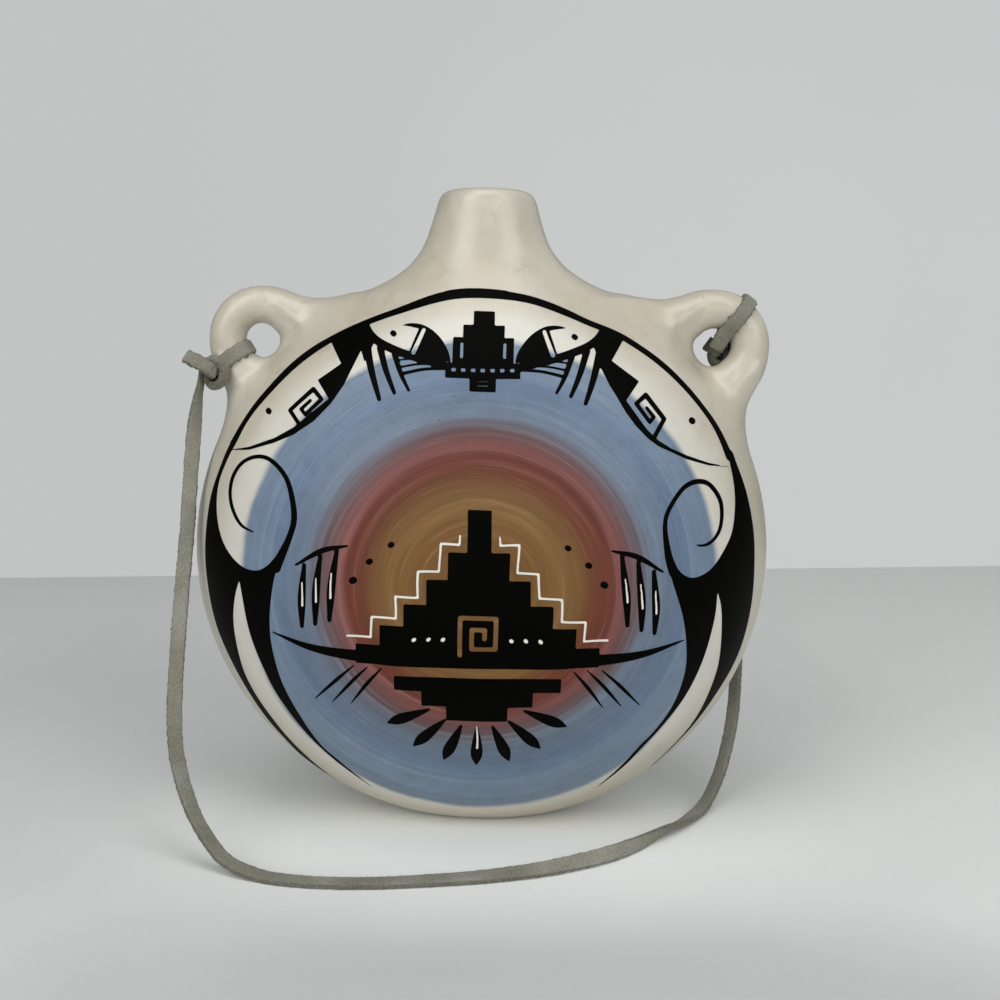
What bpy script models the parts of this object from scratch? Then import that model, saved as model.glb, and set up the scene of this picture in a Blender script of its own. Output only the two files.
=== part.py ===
"""A painted clay canteen with a suede carrying lace, at its real size.

Metres, +Z up. The origin is under the middle of the foot and the painted front faces -Y.
The potter's pieces are two deep bowls joined rim to rim, a neck and two ears. The lace is one
strip of suede tied to both ears: its free stretch, its two hitches, knots and tails.
"""

import math

import bmesh
import bpy
import numpy as np
from mathutils import Matrix, Vector

MM = 0.001

# Body: two bowls, each one side of a lens turned about the Y axis and a little lower than wide
BODY_RADIUS = 75.0 * MM
BODY_HALF_HEIGHT = 73.5 * MM
BODY_HALF_DEPTH = 38.2 * MM
DOME_POWER = 2.66  # how flat the middle of the dome is
RIM_POWER = 1.68  # how round the rim is, where 2 is an ellipse
WALL = 5.0 * MM
FOOT_CUT = 2.0 * MM  # depth of the flat that the canteen stands on
FOOT_BLOCK_SIDE = 2.2 * BODY_RADIUS  # of the block that cuts the flat
FIT_GAP = 0.3 * MM  # between pieces that touch
BODY_STEPS = 64
DOME_STEPS = 13

# Neck: an oval flare that narrows to a round lip
NECK_RISE = 19.0 * MM  # of the lip above the body
LIP_RADIUS = 12.35 * MM
LIP_ROUND = 2.4 * MM
BORE_RADIUS = 7.5 * MM
NECK_TAPER = (6.3 * MM, 1.8 * MM)  # even widening from lip to shoulder, across X and across Y
NECK_FLARE = (9.5 * MM, 0.8 * MM)  # further widening close to the shoulder
FLARE_POWER = 5.3
NECK_LENGTH = 22.0 * MM  # over which taper and flare are measured, below the lip
NECK_TRIM = 0.86  # share of that length at which the flare ends on the shoulder
NECK_SINK = 9.0 * MM  # how far the neck runs on, into the seat that the body cuts
NECK_STEPS = 44
NECK_RINGS = 9
LIP_RINGS = 4
BORE_STEPS = 32

# Ears: a coil of clay bent to an arch on each shoulder, its inside filled round the hole
LEFT_EAR_ANGLE = math.radians(43.5)  # above the horizontal, seen from the middle of the body
LEFT_EAR_REACH = 4.2 * MM  # from the body's rim to the middle of the hole
RIGHT_EAR_ANGLE = math.radians(42.7)
RIGHT_EAR_REACH = 5.7 * MM
EAR_HOLE_RADIUS = 4.6 * MM
EAR_COIL_RADIUS = 4.8 * MM
EAR_FILL_RADIUS = 4.3 * MM  # of the ring of clay that rounds the hole on the body's side
EAR_ROOT_RADIUS = 8.0 * MM
EAR_LEG = 15.0 * MM
EAR_SPLAY = math.radians(21.0)  # how far each leg leans away from the other
ARCH_STEPS = 11
LEG_STEPS = 4
COIL_RESOLUTION = 3
FILL_STEPS = (28, 12)  # round the hole and round the ring's own section

# Lace: a flat strip of suede
LACE_WIDTH = 4.0 * MM
LACE_THICKNESS = 1.8 * MM
HITCH_SLACK = 0.35 * MM  # of the loop round the ear's coil
HITCH_STEPS = 13
KNOT_STEPS = 16
KNOT_RADIUS = 3.0 * MM  # front to back
LEFT_HITCH_TURN = math.radians(-76.0)  # place on the ear's arch, from its crown
LEFT_KNOT_TILT = math.radians(55.0)  # from the outer side of the coil round to its front
LEFT_KNOT_HALF_HEIGHT = 4.4 * MM
LEFT_TAIL = 4.4 * MM
LEFT_TAIL_AIM = Vector((-0.884, 0.0, 0.467))
LEFT_TAIL_CURL = 0.5 * MM
RIGHT_HITCH_TURN = math.radians(11.0)
RIGHT_KNOT_HALF_HEIGHT = 3.2 * MM
RIGHT_KNOT_DROP = 2.1 * MM  # below the middle of the hole
RIGHT_KNOT_SHIFT = 1.2 * MM  # away from the neck
RIGHT_TAIL = 3.4 * MM
RIGHT_TAIL_AIM = Vector((-0.62, 0.25, 0.74))
RIGHT_TAIL_CURL = 0.2 * MM
LACE_STEPS = 79
LACE_SAMPLES = 20  # of the smooth curve, for each point that is kept

# The free stretch in millimetres, from the left knot down beside the body, along the table in
# front and up behind the right side to the right knot
LACE_ROUTE = (
    (-71.9, -7.0, 114.2), (-72.8, -7.3, 111.8), (-73.3, -8.2, 106.0), (-73.6, -10.0, 97.5),
    (-74.3, -13.6, 78.0), (-75.0, -18.0, 60.7), (-75.1, -22.2, 48.0), (-74.6, -27.4, 35.5),
    (-73.2, -31.8, 26.4), (-70.1, -35.8, 17.8), (-65.4, -39.2, 9.6), (-58.8, -42.4, 3.6),
    (-50.0, -45.6, 1.6), (-41.0, -47.6, 1.6), (-29.0, -48.2, 1.6), (-16.5, -47.1, 1.6),
    (3.5, -43.7, 1.6), (20.0, -38.7, 1.6), (36.1, -29.7, 1.6), (49.4, -16.4, 1.6),
    (57.6, -6.0, 1.7), (63.2, 2.4, 3.2), (67.0, 7.2, 8.4), (69.8, 11.0, 16.4),
    (71.4, 13.6, 25.0), (72.0, 16.0, 36.0), (72.2, 17.8, 50.0), (72.2, 18.6, 64.0),
    (71.8, 18.4, 78.0), (70.6, 17.0, 91.0), (68.6, 14.4, 103.0), (66.4, 11.8, 111.6),
    (64.5, 10.4, 116.2), (62.8, 8.8, 119.3), (61.4, 6.6, 121.3),
)

SLIP = ("cream_slip", (0.52, 0.48, 0.38, 1.0), 0.42)
SUEDE = ("grey_suede", (0.19, 0.185, 0.155, 1.0), 0.9)
SMOOTH_ANGLE = math.radians(35.0)
WELD = 1e-6

FRONT = Vector((0.0, -1.0, 0.0))
BODY_CENTRE = BODY_HALF_HEIGHT - FOOT_CUT
NECK_TOP = BODY_CENTRE + BODY_HALF_HEIGHT + NECK_RISE
BODY_SQUASH = BODY_HALF_HEIGHT / BODY_RADIUS
EAR_PLACES = {-1: (LEFT_EAR_ANGLE, LEFT_EAR_REACH), 1: (RIGHT_EAR_ANGLE, RIGHT_EAR_REACH)}
EAR_RING = EAR_HOLE_RADIUS + EAR_COIL_RADIUS
LEFT_KNOT = Vector((KNOT_RADIUS, KNOT_RADIUS, LEFT_KNOT_HALF_HEIGHT))
RIGHT_KNOT = Vector((RIGHT_KNOT_HALF_HEIGHT, KNOT_RADIUS, RIGHT_KNOT_HALF_HEIGHT))
HITCH_RADIUS = EAR_COIL_RADIUS + FIT_GAP + HITCH_SLACK + LACE_THICKNESS / 2

for old in list(bpy.data.objects):
    bpy.data.objects.remove(old, do_unlink=True)


def fresh_collection(name):
    """A new collection in the scene."""
    made = bpy.data.collections.new(name)
    bpy.context.scene.collection.children.link(made)
    return made


PARTS = fresh_collection("clay_canteen")
CUTTERS = fresh_collection("cutters")


def finish_for(part, finish):
    """Gives a part its own material: a name, a colour and a roughness."""
    name, colour, roughness = finish
    material = bpy.data.materials.new(f"{name}_{part.name}")
    material.use_nodes = True
    shader = material.node_tree.nodes["Principled BSDF"]
    shader.inputs["Base Color"].default_value = colour
    shader.inputs["Roughness"].default_value = roughness
    shader.inputs["Metallic"].default_value = 0.0
    part.data.materials.append(material)


def visible(name, data, finish):
    """A part of the canteen, shaded smooth where it is round."""
    part = bpy.data.objects.new(name, data)
    PARTS.objects.link(part)
    finish_for(part, finish)
    if isinstance(data, bpy.types.Mesh):
        data.shade_smooth()
        data.set_sharp_from_angle(angle=SMOOTH_ANGLE)
    return part


def helper(name, data):
    """An object that shapes other parts and isn't one itself."""
    made = bpy.data.objects.new(name, data)
    CUTTERS.objects.link(made)
    made.hide_render = True
    made.display_type = "WIRE"
    return made


def primitive(add, **sizes):
    """The mesh of a primitive, without its object."""
    add(**sizes)
    made = bpy.context.object
    mesh = made.data
    bpy.data.objects.remove(made)
    return mesh


def combine(part, tool, operation):
    """Joins the tool's shape to the part (UNION) or takes it out (DIFFERENCE)."""
    boolean = part.modifiers.new(tool.name, "BOOLEAN")
    boolean.operation = operation
    boolean.solver = "EXACT"
    boolean.object = tool


def profile_mesh(name, points):
    """One open line of (radius, height) points, for a Screw modifier to turn."""
    mesh = bpy.data.meshes.new(name)
    edges = [(i, i + 1) for i in range(len(points) - 1)]
    mesh.from_pydata([(radius, 0.0, height) for radius, height in points], edges, [])
    return mesh


def turn(part, steps):
    """Turns the part's profile about its own Z axis."""
    screw = part.modifiers.new("turned", "SCREW")
    screw.steps = steps
    screw.render_steps = steps
    screw.use_merge_vertices = True
    screw.merge_threshold = WELD
    screw.use_smooth_shade = True


def dome_profile(radius, depth, lowest, count):
    """Points (radius, depth) of one side of the lens, from its middle out to the depth `lowest`."""
    last = math.acos((lowest / depth) ** (RIM_POWER / 2))
    angles = [last * i / count for i in range(count + 1)]
    return [
        (
            radius * math.sin(a) ** (2 / DOME_POWER),
            depth * max(0.0, math.cos(a)) ** (2 / RIM_POWER),
        )
        for a in angles
    ]


def body_placing(facing):
    """Lays a lens turned about Z with its dome towards -Y (facing 1) or +Y (facing -1)."""
    squash = Matrix.Diagonal((1.0, BODY_SQUASH, 1.0, 1.0))
    lie = Matrix.Rotation(facing * math.pi / 2, 4, "X")
    lift = Matrix.Translation((0.0, 0.0, BODY_CENTRE))
    return lift @ lie @ squash


def bowl(name, facing):
    """One bowl of the body: the wall between two domes, its rim towards the other bowl."""
    rim = FIT_GAP / 2
    outer = dome_profile(BODY_RADIUS, BODY_HALF_DEPTH, rim, DOME_STEPS)
    inner = dome_profile(BODY_RADIUS - WALL, BODY_HALF_DEPTH - WALL, rim, DOME_STEPS)
    part = visible(name, profile_mesh(name, outer + inner[::-1]), SLIP)
    turn(part, BODY_STEPS)
    part.matrix_world = body_placing(facing)
    return part


def body_seat():
    """The whole body, larger by the fit gap, which the neck and the ears are cut to sit on."""
    front = dome_profile(BODY_RADIUS + FIT_GAP, BODY_HALF_DEPTH + FIT_GAP, 0.0, DOME_STEPS)
    back = [(radius, -depth) for radius, depth in front[-2::-1]]
    tool = helper("body_seat", profile_mesh("body_seat", front + back))
    turn(tool, BODY_STEPS)
    tool.matrix_world = body_placing(1)
    return tool


def foot_block():
    """A block below the standing plane."""
    cube = primitive(bpy.ops.mesh.primitive_cube_add, size=FOOT_BLOCK_SIDE)
    tool = helper("foot_block", cube)
    tool.location.z = -FOOT_BLOCK_SIDE / 2
    return tool


def bore_rod():
    """A rod down through the neck into the hollow."""
    high = NECK_TOP + BORE_RADIUS
    mesh = primitive(
        bpy.ops.mesh.primitive_cylinder_add,
        vertices=BORE_STEPS,
        radius=BORE_RADIUS,
        depth=high - BODY_CENTRE,
    )
    tool = helper("bore_rod", mesh)
    tool.location.z = (high + BODY_CENTRE) / 2
    return tool


def neck_reach(share):
    """Half widths of the neck, across X and across Y, at a share of its length below the lip."""
    return tuple(
        LIP_RADIUS + taper * share + flare * share**FLARE_POWER
        for taper, flare in zip(NECK_TAPER, NECK_FLARE)
    )


def neck_rings():
    """Rings (half width X, half width Y, height): up the outside, over the lip, down the bore."""
    lip_low = NECK_TOP - LIP_ROUND
    bottom = lip_low - NECK_TRIM * NECK_LENGTH - NECK_SINK
    rings = [(*neck_reach(NECK_TRIM), bottom)]
    for i in range(NECK_RINGS):
        share = NECK_TRIM * (1 - i / (NECK_RINGS - 1))
        rings.append((*neck_reach(share), lip_low - share * NECK_LENGTH))
    crown = LIP_RADIUS - LIP_ROUND
    for i in range(1, LIP_RINGS + 1):
        a = math.pi / 2 * i / LIP_RINGS
        radius = crown + LIP_ROUND * math.cos(a)
        rings.append((radius, radius, lip_low + LIP_ROUND * math.sin(a)))
    for i in range(1, LIP_RINGS + 1):
        a = math.pi / 2 * i / LIP_RINGS
        radius = BORE_RADIUS + (crown - BORE_RADIUS) * (1 - math.sin(a))
        rings.append((radius, radius, lip_low + LIP_ROUND * math.cos(a)))
    rings.append((BORE_RADIUS, BORE_RADIUS, bottom))
    return rings


def neck(seat):
    """The neck, lofted between round and oval rings and closed on itself through the bore."""
    rings = neck_rings()
    angles = [math.tau * i / NECK_STEPS for i in range(NECK_STEPS)]
    points = [(a * math.cos(t), b * math.sin(t), z) for a, b, z in rings for t in angles]
    faces = []
    for ring in range(len(rings)):
        low = ring * NECK_STEPS
        high = (ring + 1) % len(rings) * NECK_STEPS
        for step in range(NECK_STEPS):
            beside = (step + 1) % NECK_STEPS
            faces.append((low + step, low + beside, high + beside, high + step))
    mesh = bpy.data.meshes.new("neck")
    mesh.from_pydata(points, [], faces)
    part = visible("neck", mesh, SLIP)
    combine(part, seat, "DIFFERENCE")
    return part


def ear_frame(side):
    """The middle of an ear's hole, and the directions out of the body and up along its rim."""
    angle, reach = EAR_PLACES[side]
    outwards = Vector((side * math.cos(angle), 0.0, math.sin(angle)))
    upwards = Vector((-side * math.sin(angle), 0.0, math.cos(angle)))
    rim = BODY_RADIUS / math.hypot(math.cos(angle), math.sin(angle) / BODY_SQUASH)
    middle = Vector((0.0, 0.0, BODY_CENTRE)) + outwards * (rim + reach)
    return middle, outwards, upwards


def ear_route(side):
    """Points and radii of an ear's coil: a leg, half a circle round the hole, the other leg."""
    middle, outwards, upwards = ear_frame(side)
    leg = []
    for i in range(LEG_STEPS, 0, -1):
        share = i / LEG_STEPS
        out = -EAR_LEG * share * math.cos(EAR_SPLAY)
        up = EAR_RING + EAR_LEG * share * math.sin(EAR_SPLAY)
        leg.append((out, up, EAR_COIL_RADIUS + (EAR_ROOT_RADIUS - EAR_COIL_RADIUS) * share))
    turns = [math.pi * (i / (ARCH_STEPS - 1) - 0.5) for i in range(ARCH_STEPS)]
    arch = [(EAR_RING * math.cos(a), EAR_RING * math.sin(a), EAR_COIL_RADIUS) for a in turns]
    rows = [(out, -up, radius) for out, up, radius in leg] + arch + leg[::-1]
    return [(middle + outwards * out + upwards * up, radius) for out, up, radius in rows]


def tube(name, places, radii, resolution):
    """A curve with a round bevel and filled caps along the places."""
    curve = bpy.data.curves.new(name, "CURVE")
    curve.dimensions = "3D"
    curve.bevel_depth = radii[0]
    curve.bevel_resolution = resolution
    curve.use_fill_caps = True
    spline = curve.splines.new("POLY")
    spline.points.add(len(places) - 1)
    for point, place, radius in zip(spline.points, places, radii):
        point.co = (*place, 1.0)
        point.radius = radius / radii[0]
    return curve


def mesh_of(curve):
    """The curve's surface as one closed mesh, its caps joined to its sides."""
    guide = bpy.data.objects.new(curve.name, curve)
    CUTTERS.objects.link(guide)
    evaluated = guide.evaluated_get(bpy.context.evaluated_depsgraph_get())
    mesh = bpy.data.meshes.new_from_object(evaluated)
    bpy.data.objects.remove(guide)
    shape = bmesh.new()
    shape.from_mesh(mesh)
    bmesh.ops.remove_doubles(shape, verts=shape.verts, dist=WELD)
    bmesh.ops.recalc_face_normals(shape, faces=shape.faces)
    shape.to_mesh(mesh)
    shape.free()
    return mesh


def hole_fill(name, side):
    """A ring round an ear's hole, thinner than the coil, which closes the corners inside it."""
    around, across = FILL_STEPS
    mesh = primitive(
        bpy.ops.mesh.primitive_torus_add,
        major_segments=around,
        minor_segments=across,
        major_radius=EAR_RING,
        minor_radius=EAR_FILL_RADIUS,
    )
    tool = helper(name, mesh)
    tool.location = ear_frame(side)[0]
    tool.rotation_euler.x = math.pi / 2
    return tool


def ear(name, side, seat):
    """An ear: its coil, filled round the hole and cut to sit on the body."""
    places, radii = zip(*ear_route(side))
    part = visible(name, mesh_of(tube(name, places, radii, COIL_RESOLUTION)), SLIP)
    combine(part, hole_fill(f"{name}_fill", side), "UNION")
    combine(part, seat, "DIFFERENCE")
    return part


def coil_under(side, turned):
    """The middle of an ear's coil at a place on its arch, and the way out from the hole there."""
    middle, outwards, upwards = ear_frame(side)
    away = outwards * math.cos(turned) + upwards * math.sin(turned)
    return middle + away * EAR_RING, away


def strip(name, origin, along, aside, route):
    """A flat strip of lace, whose route of (along, aside) lies in the plane of those two."""
    curve = bpy.data.curves.new(name, "CURVE")
    curve.dimensions = "2D"
    curve.fill_mode = "NONE"
    curve.extrude = (LACE_WIDTH - LACE_THICKNESS) / 2
    curve.bevel_depth = LACE_THICKNESS / 2
    curve.bevel_resolution = 1
    curve.use_fill_caps = True
    spline = curve.splines.new("POLY")
    spline.points.add(len(route) - 1)
    for point, (out, over) in zip(spline.points, route):
        point.co = (out, over, 0.0, 1.0)
    part = visible(name, curve, SUEDE)
    facing = Matrix((along, aside, along.cross(aside))).transposed().to_4x4()
    part.matrix_world = Matrix.Translation(origin) @ facing
    return part


def square_to(aim):
    """The direction nearest to the front that is square to the aim."""
    return (FRONT - aim * aim.dot(FRONT)).normalized()


def hitch(name, coil, place, size):
    """The loop of lace round an ear's coil: a half circle and two legs that reach the knot."""
    to_knot = (place - coil).normalized()
    flank = (size.x + size.z) / 2 + FIT_GAP + LACE_THICKNESS / 2
    reach = (place - coil).length - size.x / 2
    turns = [math.pi * (0.5 + i / (HITCH_STEPS - 1)) for i in range(HITCH_STEPS)]
    bend = [(HITCH_RADIUS * math.cos(a), HITCH_RADIUS * math.sin(a)) for a in turns]
    return strip(name, coil, to_knot, square_to(to_knot), [(reach, flank), *bend, (reach, -flank)])


def knot(name, place, size):
    """The outer shape of an overhand knot."""
    rings = KNOT_STEPS // 2
    mesh = primitive(
        bpy.ops.mesh.primitive_uv_sphere_add, segments=KNOT_STEPS, ring_count=rings, radius=1.0
    )
    part = visible(name, mesh, SUEDE)
    part.matrix_world = Matrix.Translation(place) @ Matrix.Diagonal((*size, 1.0))
    return part


def tail(name, place, size, aim, length, curl):
    """The cut end of the lace, from the knot's surface outwards, curling to the front."""
    aim = aim.normalized()
    start = Vector(half * way for half, way in zip(size, aim)).length + FIT_GAP
    route = [(start, 0.0), (start + length / 2, curl / 4), (start + length, curl)]
    return strip(name, place, aim, square_to(aim), route)


def left_tie():
    """Hitch, knot and tail on the left ear: the knot lies outside the coil, towards the front."""
    coil, away = coil_under(-1, LEFT_HITCH_TURN)
    to_knot = away * math.cos(LEFT_KNOT_TILT) + FRONT * math.sin(LEFT_KNOT_TILT)
    place = coil + to_knot * (EAR_COIL_RADIUS + FIT_GAP + HITCH_SLACK + LEFT_KNOT.x)
    hitch("left_hitch", coil, place, LEFT_KNOT)
    knot("left_knot", place, LEFT_KNOT)
    tail("left_tail", place, LEFT_KNOT, LEFT_TAIL_AIM, LEFT_TAIL, LEFT_TAIL_CURL)


def right_tie():
    """Hitch, knot and tail on the right ear: the knot is pulled against the back of the hole."""
    coil, _ = coil_under(1, RIGHT_HITCH_TURN)
    middle = ear_frame(1)[0]
    drop = Vector((RIGHT_KNOT_SHIFT, 0.0, -RIGHT_KNOT_DROP))
    apart = EAR_COIL_RADIUS + FIT_GAP + max(RIGHT_KNOT)
    inside = EAR_RING - drop.length
    behind = math.sqrt(max(0.0, apart**2 - inside**2))
    place = middle + drop - FRONT * behind
    hitch("right_hitch", coil, place, RIGHT_KNOT)
    knot("right_knot", place, RIGHT_KNOT)
    tail("right_tail", place, RIGHT_KNOT, RIGHT_TAIL_AIM, RIGHT_TAIL, RIGHT_TAIL_CURL)


def smooth_points(route, count):
    """Evenly spaced points of the smooth curve through the route, a cubic in each span."""
    route = np.array(route)
    spans = np.linalg.norm(np.diff(route, axis=0), axis=1) ** 0.5
    knots = np.concatenate([[0.0], np.cumsum(spans)])
    slopes = np.gradient(route, knots, axis=0)
    fine = np.linspace(0.0, knots[-1], LACE_SAMPLES * count)
    span = np.clip(np.searchsorted(knots, fine, side="right") - 1, 0, len(spans) - 1)
    width = spans[span][:, None]
    t = (fine[:, None] - knots[span][:, None]) / width
    dense = (
        (2 * t**3 - 3 * t**2 + 1) * route[span]
        + (t**3 - 2 * t**2 + t) * width * slopes[span]
        + (3 * t**2 - 2 * t**3) * route[span + 1]
        + (t**3 - t**2) * width * slopes[span + 1]
    )
    run = np.concatenate([[0.0], np.cumsum(np.linalg.norm(np.diff(dense, axis=0), axis=1))])
    even = np.linspace(0.0, run[-1], count)
    points = np.stack([np.interp(even, run, dense[:, i]) for i in range(3)], axis=1)
    return points, run[-1]


def lace():
    """The free stretch: a round tube with the cross-section of the flat strip."""
    points, length = smooth_points(np.array(LACE_ROUTE) * MM, LACE_STEPS)
    radius = math.sqrt(LACE_WIDTH * LACE_THICKNESS / math.pi)
    curve = tube("lace", [tuple(map(float, p)) for p in points], [radius] * len(points), 2)
    visible("lace", curve, SUEDE)
    print(f"free lace {length / MM:.0f} mm long, {2 * radius / MM:.1f} mm thick")


def canteen():
    """Every piece in its place."""
    foot = foot_block()
    bore = bore_rod()
    seat = body_seat()
    for name, facing in (("front_shell", 1), ("back_shell", -1)):
        shell = bowl(name, facing)
        combine(shell, foot, "DIFFERENCE")
        combine(shell, bore, "DIFFERENCE")
    neck(seat)
    ear("left_ear", -1, seat)
    ear("right_ear", 1, seat)
    left_tie()
    right_tie()
    lace()


canteen()
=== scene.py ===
"""The looks of a painted clay canteen and its suede lace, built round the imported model.

Shapes are worked out in millimetres, in the model's frame: +Z is up and the painted front
faces -Y. Meshes are written in metres.
"""

import logging
import math
from dataclasses import dataclass, field
from enum import Enum
from typing import Callable, Iterable, Sequence, Union

import bpy
import numpy as np
from mathutils import Matrix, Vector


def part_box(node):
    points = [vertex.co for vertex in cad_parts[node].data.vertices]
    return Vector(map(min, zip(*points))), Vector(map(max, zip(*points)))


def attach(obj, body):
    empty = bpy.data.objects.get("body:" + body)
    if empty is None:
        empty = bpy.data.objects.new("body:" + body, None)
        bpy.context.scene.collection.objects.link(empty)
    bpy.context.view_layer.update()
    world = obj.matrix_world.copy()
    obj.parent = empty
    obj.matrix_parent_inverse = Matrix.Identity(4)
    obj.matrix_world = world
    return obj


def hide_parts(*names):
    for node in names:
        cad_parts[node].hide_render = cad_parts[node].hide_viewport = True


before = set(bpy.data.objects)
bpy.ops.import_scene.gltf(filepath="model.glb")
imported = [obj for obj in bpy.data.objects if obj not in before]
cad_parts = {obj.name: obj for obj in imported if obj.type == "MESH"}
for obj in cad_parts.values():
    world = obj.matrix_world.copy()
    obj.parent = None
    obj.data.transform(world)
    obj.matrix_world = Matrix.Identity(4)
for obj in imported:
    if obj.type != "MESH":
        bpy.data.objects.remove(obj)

Array = np.ndarray
Colour = tuple[float, float, float]
Point = tuple[float, float]

MM = 0.001
LOG = logging.getLogger("canteen")


def srgb(red: float, green: float, blue: float) -> Colour:
    """A colour given as 0 to 255, in the linear values that shaders take.

    The numbers are those of the sRGB curve.
    """
    shares = (np.array([red, green, blue]) / 255.0 + 0.055) / 1.055
    plain = np.array([red, green, blue]) / 255.0 / 12.92
    return tuple(float(c) for c in np.where(shares > 0.0904, shares**2.4, plain))


def box_mm(node: str) -> tuple[Array, Array]:
    """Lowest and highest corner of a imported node, in millimetres."""
    low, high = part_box(node)
    return np.array(low) / MM, np.array(high) / MM


def eased(value: Array, low: float, high: float) -> Array:
    """0 below low and 1 above high, with an S curve 3t^2 - 2t^3 between them."""
    t = np.clip((value - low) / (high - low), 0.0, 1.0)
    return t * t * (3.0 - 2.0 * t)


def unit(vectors: Array) -> Array:
    """The vectors along the last axis, each made one long."""
    return vectors / np.linalg.norm(vectors, axis=-1, keepdims=True)


FINE = 40  # points a span that a smooth line is measured with


def smooth_line(points: Array, step: float) -> Array:
    """Evenly spaced points of the smooth curve through the points.

    Each span is a cubic whose parameter grows with the square root of the span's length and
    whose slopes at the ends are the centred differences of the points.

    Args:
        points: One point a row, in two or three dimensions or more.
        step: Distance between the points that come back, measured in the first two or three.

    Returns:
        The curve's points, one a row.
    """
    spans = np.linalg.norm(np.diff(points[:, :3], axis=0), axis=1) ** 0.5
    knots = np.concatenate([[0.0], np.cumsum(spans)])
    slopes = np.gradient(points, knots, axis=0)
    fine = np.linspace(0.0, knots[-1], FINE * len(points))
    span = np.clip(np.searchsorted(knots, fine, side="right") - 1, 0, len(spans) - 1)
    width = spans[span][:, None]
    t = (fine[:, None] - knots[span][:, None]) / width
    dense = (
        (2 * t**3 - 3 * t**2 + 1) * points[span]
        + (t**3 - 2 * t**2 + t) * width * slopes[span]
        + (3 * t**2 - 2 * t**3) * points[span + 1]
        + (t**3 - t**2) * width * slopes[span + 1]
    )
    moves = np.linalg.norm(np.diff(dense[:, :3], axis=0), axis=1)
    run = np.concatenate([[0.0], np.cumsum(moves)])
    count = max(2, int(round(run[-1] / step)) + 1)
    even = np.linspace(0.0, run[-1], count)
    return np.stack([np.interp(even, run, dense[:, i]) for i in range(points.shape[1])], axis=1)


def run_of(points: Array) -> Array:
    """Distance along a line of points, from its first point."""
    return np.concatenate([[0.0], np.cumsum(np.linalg.norm(np.diff(points, axis=0), axis=1))])


def mesh_piece(
    name: str,
    points: Array,
    faces: Iterable[Array],
    normals: Array | None = None,
    marks: dict[str, Array] | None = None,
) -> bpy.types.Object:
    """A smooth mesh object at the origin.

    Args:
        name: The piece's name.
        points: Its vertices in millimetres, one a row.
        faces: Arrays of vertex numbers, one face a row, each array with its own corner count.
        normals: The shading normal of each vertex, where the shape's own formula gives it.
        marks: Numbers for each vertex, kept as attributes that materials read.

    Returns:
        The object.
    """
    mesh = bpy.data.meshes.new(name)
    mesh.from_pydata((points * MM).tolist(), [], [row for part in faces for row in part.tolist()])
    mesh.shade_smooth()
    for mark, values in (marks or {}).items():
        attribute = mesh.attributes.new(mark, "FLOAT", "POINT")
        attribute.data.foreach_set("value", values.astype(np.float32))
    if normals is not None:
        mesh.normals_split_custom_set_from_vertices(normals.tolist())
    mesh.update()
    piece = bpy.data.objects.new(name, mesh)
    bpy.context.scene.collection.objects.link(piece)
    return piece


class Signal:
    """A number that changes over a surface: a socket that Python's arithmetic builds on."""

    def __init__(self, board: "Board", socket: bpy.types.NodeSocket) -> None:
        """Wraps the socket of a node on the board."""
        self.board = board
        self.socket = socket

    def _math(self, operation: str, *values: "Signal | float", clamp: bool = False) -> "Signal":
        """One Math node on this signal and the values."""
        settings = {"operation": operation, "use_clamp": clamp}
        inputs = dict(enumerate((self, *values)))
        return Signal(self.board, self.board.node("ShaderNodeMath", settings, inputs).outputs[0])

    def _before(self, operation: str, value: float) -> "Signal":
        """One Math node with a plain number in front of this signal."""
        settings = {"operation": operation}
        node = self.board.node("ShaderNodeMath", settings, {0: value, 1: self})
        return Signal(self.board, node.outputs[0])

    def __add__(self, other: "Signal | float") -> "Signal":
        """The sum."""
        return self._math("ADD", other)

    __radd__ = __add__

    def __mul__(self, other: "Signal | float") -> "Signal":
        """The product."""
        return self._math("MULTIPLY", other)

    __rmul__ = __mul__

    def __sub__(self, other: "Signal | float") -> "Signal":
        """The difference."""
        return self._math("SUBTRACT", other)

    def __rsub__(self, other: float) -> "Signal":
        """A plain number less this signal."""
        return self._before("SUBTRACT", other)

    def __truediv__(self, other: "Signal | float") -> "Signal":
        """The quotient."""
        return self._math("DIVIDE", other)

    def __pow__(self, other: float) -> "Signal":
        """The power."""
        return self._math("POWER", other)

    def root(self) -> "Signal":
        """The square root."""
        return self._math("SQRT")

    def least(self, other: "Signal | float") -> "Signal":
        """The smaller of the two."""
        return self._math("MINIMUM", other)

    def most(self, other: "Signal | float") -> "Signal":
        """The larger of the two."""
        return self._math("MAXIMUM", other)

    def between(self, low: float, high: float) -> "Signal":
        """0 where this signal is at low and 1 where it is at high, eased and clamped."""
        settings = {"interpolation_type": "SMOOTHSTEP"}
        inputs = {"Value": self, "From Min": low, "From Max": high}
        node = self.board.node("ShaderNodeMapRange", settings, inputs)
        return Signal(self.board, node.outputs[0])


Fed = Union[Signal, float, Sequence[float], bpy.types.NodeSocket]


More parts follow.
